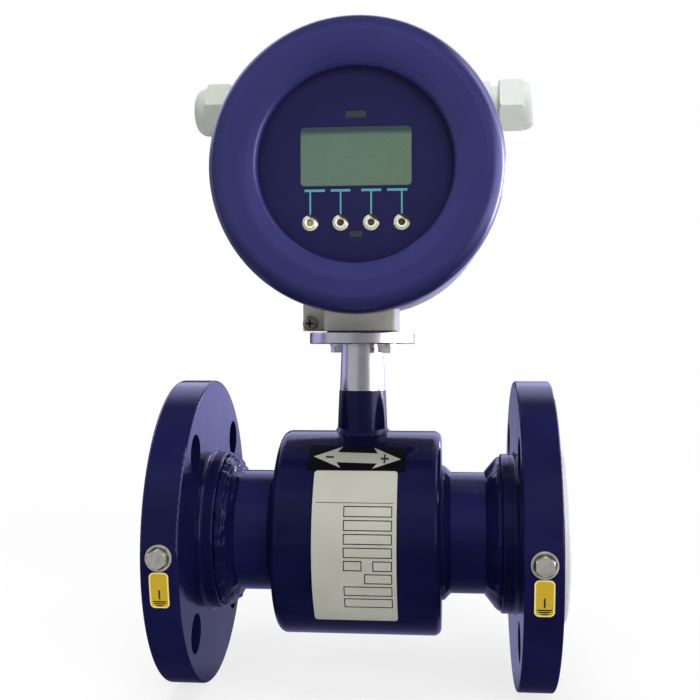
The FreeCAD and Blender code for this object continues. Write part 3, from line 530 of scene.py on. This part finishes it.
ownFinishes = {
    # the tube and both flanges get lighter copies of the body paint: painted light
    "measuring_tube": glossEnamel("tubeEnamelPaintedLight", share=1.9),
    "inlet_flange": glossEnamel("flangeEnamelPaintedLight", share=1.25),
    "earth_bolts": forgedSteel("boltSteel", (0.76, 0.73, 0.62), (0.14, 0.24), 0.68, (520, 0.02)),
    "earth_washers": washerSteel(),
    "neck_bolts": forgedSteel("neckBoltSteel", (0.80, 0.80, 0.80), (0.20, 0.34), 0.70, (700, 0.02)),
    "ear_screw": forgedSteel("screwSteel", (0.36, 0.32, 0.24), (0.24, 0.40), 0.70, (700, 0.02)),
    # the left gland is given a darker copy of its plastic: painted shade on that side
    "gland_body_left": plainPlastic("glandPlasticPaintedShade", (0.48, 0.51, 0.455), (0.30, 0.42), (1200, 0.012)),
    "key_bezels": bezelNickel(),
    "key_1": keyFace("keyFace1", "key_1", keyFaceLook["brass"]),
    "key_2": keyFace("keyFace2", "key_2", keyFaceLook["middle"]),
    "key_3": keyFace("keyFace3", "key_3", keyFaceLook["middle"]),
    "key_4": keyFace("keyFace4", "key_4", keyFaceLook["middle"]),
}
ownFinishes["outlet_flange"] = ownFinishes["inlet_flange"]
ownFinishes["gland_nut_left"] = ownFinishes["gland_body_left"]
slotOfNode = {entry["node"]: entry["material_slot"] for entry in frame["record"]["subparts"]}
for nodeName, nodeObject in frame["nodes"].items():
    if not nodeObject.data.materials:
        nodeObject.data.materials.append(None)
    for materialSlot in nodeObject.material_slots:
        materialSlot.material = ownFinishes.get(nodeName, finishes[slotOfNode[nodeName]])
print("finishes given to", len(frame["nodes"]), "nodes")


hubWeldSize = {
    "left": [(69.0, -0.3), (69.0, 7.5), (68.0, 8.0), (67.0, 7.3), (66.4, 7.5), (65.4, 7.2), (64.9, 5.9),
             (64.2, 5.6), (63.3, 4.9), (62.9, 3.3), (62.2, 2.9), (61.3, 1.8), (60.8, 0.4), (60.5, -0.3)],
    "right": [(69.0, -0.3), (69.0, 7.6), (68.0, 7.9), (66.5, 6.6), (64.8, 4.6), (63.0, 2.4), (61.4, 0.5),
              (61.2, -0.3)],
    "lumpsLeft": 0.95, "lumpsRight": 0.35, "steps": 240}
casingWeldSize = {
    "corners": [(40.0, -0.3), (40.0, 3.6), (41.0, 3.4), (42.3, 2.4), (43.5, 1.1), (44.5, 0.2), (44.5, -0.3)],
    "lumps": 0.3, "steps": 180}
beadSize = {"blend": 1.5, "swell": 1.1, "swellSpread": (0.22, 0.15, 0.15), "rough": 0.6,
            "roughSpread": (0.30, 0.42, 0.42), "driftSpread": 0.20, "driftPlace": 9}


def beadRing(name, facing, corners, lumps, steps, replaced):
    # a bead laid round the tube from (along, height) corners, pushed about by noise
    size = beadSize
    bm = bmesh.new()
    root = tubeRadius / millimetre
    spinProfile(bm, [(facing * along, root + rise) for along, rise in corners], axisX, Vector(), steps)
    for vert in bm.verts:
        spot = vert.co / millimetre
        share = min(1, max(0, (math.hypot(spot.y, spot.z) - root) / size["blend"]))
        swell = noise.noise(spot * Vector(size["swellSpread"]))
        rough = noise.noise(spot * Vector(size["roughSpread"]))
        drift = noise.noise(spot * size["driftSpread"] + axisY * size["driftPlace"])
        out = Vector((0, spot.y, spot.z)).normalized()
        vert.co += out * (swell * size["swell"] + rough * size["rough"]) * lumps * share * millimetre
        vert.co.x += drift * lumps * share * millimetre
    return finishPiece(bm, name, weldEnamelPaintedLight, replaced=replaced, smooth=80)


beadRing("hubWeldLeft", -1, hubWeldSize["left"], hubWeldSize["lumpsLeft"], hubWeldSize["steps"],
         ["hub_welds"])
beadRing("hubWeldRight", 1, hubWeldSize["right"], hubWeldSize["lumpsRight"], hubWeldSize["steps"],
         ["hub_welds"])
for sideName, facing in (("Left", -1), ("Right", 1)):
    beadRing("casingWeld" + sideName, facing, casingWeldSize["corners"], casingWeldSize["lumps"],
             casingWeldSize["steps"], ["casing_welds"])

neckSize = {"rootRadius": 12.6, "topRadius": 10.6, "bore": 7.0, "shoulder": 0.35, "paintLine": 71.6,
            "paintRound": 0.2, "paintGap": 0.01, "sunk": 3, "top": 95.0}


def neckRadiusAt(height):
    # bare radius along the taper
    casing = casingRadius / millimetre
    share = (height - casing) / (neckSize["top"] - casing)
    root = neckSize["rootRadius"] - neckSize["shoulder"]
    return root + (neckSize["topRadius"] - root) * share


def layOnCasing(bm):
    # vertices below the casing's surface are lifted to it
    for vert in bm.verts:
        surface = math.sqrt(max(0, casingRadius ** 2 - vert.co.y ** 2))
        if vert.co.z < surface:
            vert.co.z = surface


def neckPieces():
    size = neckSize
    low = casingRadius / millimetre - size["sunk"]
    line = size["paintLine"]
    bm = bmesh.new()
    spinProfile(bm, [(low, size["bore"]), (low, neckRadiusAt(low) + size["shoulder"]),
                     (line, neckRadiusAt(line) + size["shoulder"], size["paintRound"]),
                     (line, size["bore"])], axisZ)
    layOnCasing(bm)
    finishPiece(bm, "neckPainted", finishes["body_paint"], replaced=["neck_tube"])
    bm = bmesh.new()
    start = line + size["paintGap"]
    spinProfile(bm, [(start, size["bore"]), (start, neckRadiusAt(line)), (size["top"], size["topRadius"]),
                     (size["top"], size["bore"])], axisZ)
    finishPiece(bm, "neckBare", finishes["stainless"], replaced=["neck_tube"])


neckPieces()

neckWeldSize = {"rise": 2.2, "run": 1.4, "height": 52, "steps": 140, "shares": (0.0, 0.25, 0.5, 0.75, 1.0),
                "lump": 0.35, "lumpSpread": 6, "lumpRise": 0.6, "ripple": 0.16, "ripples": 17,
                "runPower": 1.3, "risePower": 1.2, "boreShare": 1.2, "sunk": 0.4}


def neckWeld():
    # a saddle bead: its toe follows the casing round the neck
    size = neckWeldSize
    bm = bmesh.new()
    rings = []
    neckRadius = (neckRadiusAt(size["height"]) + neckSize["shoulder"]) * millimetre
    for share in size["shares"]:
        ring = bmesh.ops.create_circle(bm, cap_ends=False, segments=size["steps"], radius=1.0)["verts"]
        for vert in ring:
            angle = math.atan2(vert.co.y, vert.co.x)
            around = Vector((math.cos(angle), math.sin(angle), 0.3))
            lump = noise.noise(around * size["lumpSpread"]) * size["lump"]
            ripple = abs(math.sin(angle * size["ripples"])) * size["ripple"] * math.sin(share * math.pi)
            reach = (size["run"] + lump) * (1 - share) ** size["runPower"] * millimetre
            radius = neckRadius + reach + ripple * millimetre
            spot = Vector((math.cos(angle) * radius, math.sin(angle) * radius, 0))
            surface = math.sqrt(casingRadius ** 2 - spot.y ** 2)
            climb = (size["rise"] + lump * size["lumpRise"]) * share ** size["risePower"]
            spot.z = surface + climb * millimetre
            vert.co = spot
        rings.append(set(ring))
    for lower, upper in zip(rings, rings[1:]):
        edges = [edge for edge in bm.edges
                 if all(v in lower for v in edge.verts) or all(v in upper for v in edge.verts)]
        bmesh.ops.bridge_loops(bm, edges=edges)
    outer = [edge for edge in bm.edges if edge.is_boundary]
    inner = bmesh.ops.extrude_edge_only(bm, edges=outer)
    fresh = [item for item in inner["geom"] if isinstance(item, bmesh.types.BMVert)]
    bore = neckSize["bore"] * size["boreShare"] * millimetre
    for vert in fresh:
        flat = Vector((vert.co.x, vert.co.y, 0)).normalized() * bore
        vert.co = Vector((flat.x, flat.y, vert.co.z - size["sunk"] * millimetre))
    loops = [edge for edge in bm.edges if edge.is_boundary]
    bmesh.ops.bridge_loops(bm, edges=loops)
    finishPiece(bm, "neckWeldBead", weldEnamelPaintedLight, replaced=["neck_weld"], smooth=80)


neckWeld()


def wrapOnPipe(bm, radius):
    # flat work drawn on X and Z bends round the pipe's axis on its front
    for vert in bm.verts:
        vert.co.y -= math.sqrt(radius ** 2 - vert.co.z ** 2)


def cutAtLevels(bm, levels):
    # flat work is cut across at heights in metres, so that it can bend
    for level in levels:
        bmesh.ops.bisect_plane(bm, geom=list(bm.verts) + list(bm.edges) + list(bm.faces), dist=1e-8,
                               plane_co=Vector((0, 0, level)), plane_no=axisZ)


def thickenPrint(bm):
    made = bmesh.ops.extrude_face_region(bm, geom=list(bm.faces))
    moved = [item for item in made["geom"] if isinstance(item, bmesh.types.BMVert)]
    bmesh.ops.translate(bm, vec=Vector((0, -printThickness, 0)) * millimetre, verts=moved)


def addStroke(bm, low, high, thickness=printThickness, cuts=1):
    # a thin bar between two (x, z) corners in millimetres, its back sunk a little
    verts = addBlock(bm, Vector((low[0], -thickness, low[1])) * millimetre,
                     Vector((high[0], 0.02, high[1])) * millimetre)
    if cuts > 1:
        tall = [edge for edge in {e for v in verts for e in v.link_edges}
                if abs(edge.verts[0].co.z - edge.verts[1].co.z) > 0.5 * abs(high[1] - low[1]) * millimetre]
        bmesh.ops.subdivide_edges(bm, edges=tall, cuts=cuts, use_grid_fill=True)


def addFrame(bm, low, high, line):
    addStroke(bm, (low[0], high[1] - line), high)
    addStroke(bm, low, (high[0], low[1] + line))
    addStroke(bm, (low[0], low[1] + line), (low[0] + line, high[1] - line), cuts=3)
    addStroke(bm, (high[0] - line, low[1] + line), (high[0], high[1] - line), cuts=3)


ratingPrintSize = {"ruleHeight": 21.1, "ruleHalf": 18.1, "ruleLine": 0.26, "line": 0.46, "boxTop": 19.9,
                   "boxHeight": 4.9, "pitch": 6.2, "boxLeft": -5.0, "boxRight": 17.7,
                   "rows": [((0, 1),), ((0, 1),), ((0, 1),), ((0, 1),), ((0, 0.38), (0.60, 1)), ((0.43, 1),),
                            ((0, 1),), ((0, 1),)]}


def ratingPrint():
    # empty data boxes under a thin rule
    size = ratingPrintSize
    radius = -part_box("rating_plate")[0].y
    bm = bmesh.new()
    addStroke(bm, (-size["ruleHalf"], size["ruleHeight"]),
              (size["ruleHalf"], size["ruleHeight"] + size["ruleLine"]))
    width = size["boxRight"] - size["boxLeft"]
    for i, boxes in enumerate(size["rows"]):
        top = size["boxTop"] - i * size["pitch"]
        for start, end in boxes:
            addFrame(bm, (size["boxLeft"] + start * width, top - size["boxHeight"]),
                     (size["boxLeft"] + end * width, top), size["line"])
    wrapOnPipe(bm, radius)
    finishPiece(bm, "ratingPlatePrint", printInk)


ratingPrint()

arrowPrintSize = {"tip": 21.0, "headLength": 13.4, "barb": 4.4, "sweep": 2.1, "shaft": 2.1, "middle": 40.5,
                  "turn": 1.2, "lift": 0.5, "signPlace": 13.2, "signHalf": 1.95, "signLine": 0.42,
                  "signThickness": 0.06}


def layOnBand(bm):
    # turned a little, raised to the plate's middle and wrapped round the casing
    size = arrowPrintSize
    turn = Matrix.Rotation(math.radians(size["turn"]), 4, "Y")
    bmesh.ops.transform(bm, matrix=Matrix.Translation(axisZ * size["middle"] * millimetre) @ turn,
                        verts=bm.verts)
    wrapOnPipe(bm, casingRadius + size["lift"] * millimetre)


def arrowPrint():
    # one double headed arrow, then a minus and a plus on its heads
    size = arrowPrintSize
    tip = size["tip"]
    barb = tip - size["headLength"]
    notch = barb + size["sweep"]
    low, high = size["shaft"], size["barb"]
    bm = bmesh.new()
    half = [(tip, 0), (barb, high), (notch, low)]
    outline = half + [(-x, z) for x, z in reversed(half)] + [(-x, -z) for x, z in half[1:]]
    outline += [(x, -z) for x, z in reversed(half[1:])]
    bm.faces.new([bm.verts.new(Vector((x, 0, z)) * millimetre) for x, z in outline])
    bm.normal_update()
    bmesh.ops.triangulate(bm, faces=list(bm.faces))
    cutAtLevels(bm, [level * millimetre for level in range(-4, 5)])
    bmesh.ops.recalc_face_normals(bm, faces=bm.faces)
    thickenPrint(bm)
    layOnBand(bm)
    finishPiece(bm, "flowArrow", printSilver)
    bm = bmesh.new()
    half, line, thick = size["signHalf"], size["signLine"], size["signThickness"]
    for middle in (-size["signPlace"], size["signPlace"]):
        addStroke(bm, (middle - half, -line), (middle + half, line), thick)
    addStroke(bm, (size["signPlace"] - line, -half), (size["signPlace"] + line, half), thick, 3)
    layOnBand(bm)
    finishPiece(bm, "flowSigns", printInk)


arrowPrint()

tagSize = {"lift": 0.42, "inset": 4.4, "stemWidth": 0.74, "stemTop": 0.51, "stemEnd": 0.255, "barTop": 0.20,
           "barPitch": 0.95, "barLine": 0.56, "bars": (6.4, 4.9, 2.9), "edge": 0.62, "corner": 2.2,
           "cuts": 20}


def addTagEdge(bm, middle, base, height):
    # a rounded frame along the tag's outline, open in its middle
    size = tagSize
    flat = bmesh.new()
    corners = bmesh.ops.create_grid(flat, x_segments=1, y_segments=1, size=1.0)["verts"]
    for vert in corners:
        across, rise = middle + vert.co.x * size["inset"], base + (1 + vert.co.y) * height / 2
        vert.co = Vector((across, 0, rise)) * millimetre
    bmesh.ops.bevel(flat, geom=corners, offset=size["corner"] * millimetre, segments=6, profile=0.5,
                    affect="VERTICES", material=-1)
    flat.normal_update()
    centre = list(flat.faces)
    bmesh.ops.inset_region(flat, faces=centre, thickness=size["edge"] * millimetre, depth=0,
                           use_boundary=True, use_even_offset=True)
    bmesh.ops.delete(flat, geom=centre, context="FACES")
    cutAtLevels(flat, [(base + height * i / size["cuts"]) * millimetre for i in range(1, size["cuts"])])
    thickenPrint(flat)
    holder = bpy.data.meshes.new("tagEdge")
    flat.to_mesh(holder)
    flat.free()
    bm.from_mesh(holder)
    bpy.data.meshes.remove(holder)


def tagPrints():
    # the earth sign on each tag and a paler line round the tag
    low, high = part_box("earth_tags")
    base = low.z / millimetre
    height = high.z / millimetre - base
    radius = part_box("inlet_flange")[1].z + tagSize["lift"] * millimetre
    ink = bmesh.new()
    border = bmesh.new()
    for middle in (low.x / millimetre + tagSize["inset"], high.x / millimetre - tagSize["inset"]):
        stem = tagSize["stemWidth"] / 2
        addStroke(ink, (middle - stem, base + height * tagSize["stemEnd"]),
                  (middle + stem, base + height * tagSize["stemTop"]), cuts=4)
        for i, width in enumerate(tagSize["bars"]):
            top = base + height * tagSize["barTop"] - i * tagSize["barPitch"]
            addStroke(ink, (middle - width / 2, top - tagSize["barLine"]), (middle + width / 2, top))
        addTagEdge(border, middle, base, height)
    for bm, name, material in ((ink, "earthSymbols", printInk), (border, "earthTagBorders", tagPale)):
        wrapOnPipe(bm, radius)
        finishPiece(bm, name, material)


tagPrints()

panelPrintSize = {"keyRise": -27.2, "barRise": -11.9, "barLine": 1.15, "lineWidth": 0.8,
                  "bars": ((-24.4, -14.7), (-12.0, -2.6), (2.6, 12.0), (14.8, 24.4)), "stop": 3.9}


def panelPrint():
    # a bar over each key and a line down to it
    size = panelPrintSize
    bm = bmesh.new()
    for i, (left, right) in enumerate(size["bars"]):
        middle = keyPitch * (i - 1.5)
        under = size["barRise"] - size["barLine"] / 2
        addStroke(bm, (left, under), (right, size["barRise"] + size["barLine"] / 2))
        addStroke(bm, (middle - size["lineWidth"] / 2, size["keyRise"] + size["stop"]),
                  (middle + size["lineWidth"] / 2, under))
    bmesh.ops.translate(bm, vec=Vector((0, panelFront, headCentre.z)), verts=bm.verts)
    finishPiece(bm, "panelPrint", printTeal)


panelPrint()

threadSize = {"pitch": 1.5, "crest": 10.3, "root": 9.9, "start": 64.8, "end": 76.2, "steps": 40}


def glandThread(name, facing, material):
    # one thread profile spun with a lead round the gland's plain core
    low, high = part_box("gland_body_left" if facing < 0 else "gland_body_right")
    centre = Vector((facing * threadSize["start"] * millimetre, (low.y + high.y) / 2, (low.z + high.z) / 2))
    turns = int((threadSize["end"] - threadSize["start"]) / threadSize["pitch"])
    half = threadSize["pitch"] / 2
    bm = bmesh.new()
    profile = [(0, threadSize["root"]), (facing * half * 0.8, threadSize["crest"]),
               (facing * half * 1.2, threadSize["crest"]), (facing * half * 2, threadSize["root"])]
    verts, edges = addProfile(bm, profile, axisX, centre, closed=False)
    lead = facing * threadSize["pitch"] / threadSize["steps"] * millimetre
    bmesh.ops.spin(bm, geom=verts + edges, cent=centre, axis=axisX, angle=-2 * math.pi * turns,
                   dvec=Vector((lead, 0, 0)), steps=threadSize["steps"] * turns, use_merge=False,
                   use_duplicate=False)
    finishPiece(bm, name, material, smooth=60)


# the left thread takes the left gland's darker copy: painted shade
glandThread("glandThreadLeft", -1, ownFinishes["gland_body_left"])
glandThread("glandThreadRight", 1, finishes["gland_plastic"])

screwCrossSize = {"length": 4.0, "width": 1.15, "depth": 0.35, "thickness": 0.3}


def screwCross():
    # a dark piece on the floor of the cross recess in the ear's screw: painted shade
    size = screwCrossSize
    low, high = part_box("ear_screw")
    centre = Vector(((low.x + high.x) / 2, low.y, (low.z + high.z) / 2))
    bm = bmesh.new()
    for length, width in ((size["length"], size["width"]), (size["width"], size["length"])):
        addBlock(bm, centre + Vector((-length / 2, size["depth"], -width / 2)) * millimetre,
                 centre + Vector((length / 2, size["depth"] + size["thickness"], width / 2)) * millimetre)
    finishPiece(bm, "screwCrossShade", recessShade)


screwCross()


def seenRays(owner):
    # 1 for rays from the camera and for reflected or transmitted ones
    path = addNode(owner, "ShaderNodeLightPath").outputs
    seen = combine(owner, "MAXIMUM", path["Is Camera Ray"], path["Is Glossy Ray"])
    return combine(owner, "MAXIMUM", seen, path["Is Transmission Ray"])


def placeMesh(bm, name, material):
    mesh = bpy.data.meshes.new(name)
    bm.to_mesh(mesh)
    bm.free()
    made = bpy.data.objects.new(name, mesh)
    bpy.context.scene.collection.objects.link(made)
    mesh.materials.append(material)
    return made


floorLook = {"low": (0.95, 0.95, 0.955, 1), "high": (0.98, 0.98, 0.98, 1), "cloudSize": 4, "roughness": 0.7,
             "specular": 0.2, "whiteShare": (0.78, 1.0), "fadeFrom": 0.15, "fadeTo": 0.9, "radius": 9.0}


def makeFloor():
    # pale paint that keeps the shadow near the object and turns white away from it
    look = floorLook
    material, shader, coords = startMaterial("floorPaint", {
        "Roughness": look["roughness"], "Specular IOR Level": look["specular"]})
    cloud = noiseField(material, coords, look["cloudSize"], 3)
    toSocket(material, rampBetween(material, cloud, [(0.3, look["low"]), (0.7, look["high"])]),
             shader, "Base Color")
    white = addNode(material, "ShaderNodeEmission", {"Color": (1, 1, 1, 1), "Strength": 1.0})
    radius = radiusField(material, coords, "z")
    fade = spread(material, radius, *look["whiteShare"], look["fadeFrom"], look["fadeTo"])
    share = combine(material, "MULTIPLY", seenRays(material), fade)
    mixed = addNode(material, "ShaderNodeMixShader", links={0: share, 1: shader.outputs["BSDF"],
                                                           2: white.outputs["Emission"]})
    output = material.node_tree.nodes["Material Output"]
    material.node_tree.links.new(mixed.outputs["Shader"], output.inputs["Surface"])
    bm = bmesh.new()
    bmesh.ops.create_circle(bm, cap_ends=True, segments=96, radius=look["radius"])
    bmesh.ops.translate(bm, vec=(0, 0, floorLevel), verts=bm.verts)
    floor = placeMesh(bm, "floor", material)


makeFloor()

# colours are shares of the level; a run is the pair of places between which a zone comes in
shellLook = {"radius": 4.0, "lift": 0.0006, "level": 6.0, "sky": (0.23, 0.23, 0.37),
             "zenith": (0.035, 0.035, 0.045), "above": (0.09, 0.09, 0.115), "ground": (0.024, 0.024, 0.052),
             "table": (0.007, 0.007, 0.016), "shade": (0.044, 0.044, 0.082), "behindRun": (0.1, 0.4),
             "forwardRun": (0.0, 0.3), "skyRun": (0.24, 0.36), "groundRun": (0.02, 0.26),
             "aboveRun": (0.20, 0.50), "zenithRun": (0.74, 0.88), "tableRun": (0.30, 1.10),
             "tableDownRun": (0.03, 0.08), "shadeRun": (-0.03, 0.02), "stripPlace": 0.82,
             "stripHalf": 0.012, "stripEdge": 0.006, "stripLevel": 18.0, "stripFootRun": (-0.34, -0.28),
             "stripTopRun": (0.42, 0.50)}
# the wall's colour by bearing, from behind round by the left, the front and the right to behind
wallStops = [(0.0, (0.045, 0.046, 0.085)), (0.02, (0.022, 0.022, 0.05)), (0.045, (0.006, 0.006, 0.02)),
             (0.10, (0.007, 0.007, 0.022)), (0.14, (0.078, 0.075, 0.13)), (0.22, (0.085, 0.085, 0.135)),
             (0.25, (0.025, 0.025, 0.05)), (0.29, (0.085, 0.085, 0.095)), (0.42, (0.078, 0.078, 0.088)),
             (0.47, (0.044, 0.044, 0.050)), (0.54, (0.044, 0.044, 0.050)), (0.58, (0.06, 0.055, 0.055)),
             (0.62, (0.12, 0.11, 0.12)), (0.67, (0.80, 0.80, 0.90)), (0.86, (0.85, 0.85, 0.95)),
             (0.91, (0.125, 0.125, 0.27)), (0.975, (0.125, 0.125, 0.265)), (1.0, (0.045, 0.046, 0.085))]


def makeShell():
    # studio walls that only reflections see, dim but for one bright wall on the right
    look = shellLook
    material = bpy.data.materials.new("studioShade")
    material.use_nodes = True
    tree = material.node_tree
    tree.nodes.remove(tree.nodes["Principled BSDF"])
    spot = addNode(material, "ShaderNodeTexCoord").outputs["Object"]
    direction = addNode(material, "ShaderNodeVectorMath", {"operation": "NORMALIZE"}, {"Vector": spot})
    axes = splitAxes(material, direction.outputs["Vector"])
    forward, down = (combine(material, "MULTIPLY", axes[name], -1.0) for name in "YZ")
    angle = combine(material, "ARCTAN2", axes["X"], forward)
    bearing = spread(material, angle, 0, 1, -math.pi, math.pi)
    color = rampBetween(material, bearing, [(place, rgba(tone)) for place, tone in wallStops])

    def zone(source, run):
        return spread(material, source, 0, 1, *look[run])

    behind = zone(axes["Y"], "behindRun")
    away = spread(material, radiusField(material, spot, "z"), 1, 0, *look["tableRun"])
    table = combine(material, "MULTIPLY", away, zone(down, "tableDownRun"))
    depth = zone(splitAxes(material, spot)["Y"], "shadeRun")
    shares = {
        "sky": combine(material, "MULTIPLY", zone(axes["Z"], "skyRun"), behind),
        "above": combine(material, "MULTIPLY", zone(axes["Z"], "aboveRun"), zone(forward, "forwardRun")),
        "ground": combine(material, "MULTIPLY", zone(down, "groundRun"), behind),
        "table": table,
        "shade": combine(material, "MULTIPLY", depth, table),
        "zenith": zone(axes["Z"], "zenithRun")}
    for name, share in shares.items():
        color = mixColors(material, share, color, look[name])
    off = combine(material, "ABSOLUTE", combine(material, "SUBTRACT", bearing, look["stripPlace"]))
    strip = spread(material, off, 1, 0, look["stripHalf"], look["stripHalf"] + look["stripEdge"])
    strip = combine(material, "MULTIPLY", strip, zone(axes["Z"], "stripFootRun"))
    strip = combine(material, "MULTIPLY", strip, spread(material, axes["Z"], 1, 0, *look["stripTopRun"]))
    strength = combine(material, "MULTIPLY_ADD", strip, look["stripLevel"], look["level"])
    glow = addNode(material, "ShaderNodeEmission", links={"Color": color, "Strength": strength})
    tree.links.new(glow.outputs["Emission"], tree.nodes["Material Output"].inputs["Surface"])
    material.cycles.emission_sampling = "NONE"
    bm = bmesh.new()
    bmesh.ops.create_uvsphere(bm, u_segments=64, v_segments=48, radius=look["radius"])
    for vert in bm.verts:
        vert.co.z = max(vert.co.z, floorLevel + look["lift"])
    bmesh.ops.remove_doubles(bm, verts=bm.verts, dist=1e-6)
    shell = placeMesh(bm, "studioShell", material)
    shell.visible_camera = False
    shell.visible_diffuse = False
    shell.visible_shadow = False
    print("studio walls set")


makeShell()

worldLevel = {"light": 0.24, "background": 1.0}


def makeWorld():
    # white where it is seen, dimmer as a light
    world = bpy.data.worlds.new("studio")
    bpy.context.scene.world = world
    world.use_nodes = True
    background = world.node_tree.nodes["Background"]
    background.inputs["Color"].default_value = (1, 1, 1, 1)
    strength = spread(world, seenRays(world), worldLevel["light"], worldLevel["background"], 0, 1)
    world.node_tree.links.new(strength, background.inputs["Strength"])


makeWorld()

lampSettings = {
    "topSoftbox": {"place": (-0.10, -0.25, 1.35), "size": (1.1, 0.8), "power": 14.0, "shine": False},
    "sideWindow": {"place": (1.25, -0.20, 0.36), "size": (0.20, 0.34), "power": 3.0, "shine": False},
    "backWindow": {"place": (1.05, 1.90, 0.42), "size": (0.34, 0.26), "power": 2.6, "shine": True},
    "backFill": {"place": (-0.55, 1.60, 0.80), "size": (1.1, 0.8), "power": 7.0, "shine": False},
    "frontFill": {"place": (0.75, -1.50, 0.85), "size": (1.1, 0.8), "power": 15.5, "shine": False},
}
lampAim = Vector((0, 0, 0.08))


def makeLamps():
    for name, values in lampSettings.items():
        light = bpy.data.lights.new(name, "AREA")
        light.shape = "RECTANGLE"
        light.size, light.size_y = values["size"]
        light.energy = values["power"]
        lamp = bpy.data.objects.new(name, light)
        bpy.context.scene.collection.objects.link(lamp)
        lamp.location = values["place"]
        lamp.rotation_euler = (lampAim - lamp.location).to_track_quat("-Z", "Y").to_euler()
        lamp.visible_glossy = values["shine"]


makeLamps()

cameraSettings = {"place": (0.04444, -0.52795, 0.09567), "pitch": -0.0071, "roll": 0.0016, "yaw": 0.0960,
                  "lens": 53.58}


def makeCamera():
    data = bpy.data.cameras.new("frontCamera")
    data.sensor_width = 36
    data.lens = cameraSettings["lens"]
    data.clip_start = 0.01
    camera = bpy.data.objects.new("frontCamera", data)
    bpy.context.scene.collection.objects.link(camera)
    camera.location = cameraSettings["place"]
    camera.rotation_euler = (math.pi / 2 + cameraSettings["pitch"], cameraSettings["roll"],
                             cameraSettings["yaw"])
    bpy.context.scene.camera = camera


makeCamera()
bpy.context.scene.view_settings.view_transform = "Standard"
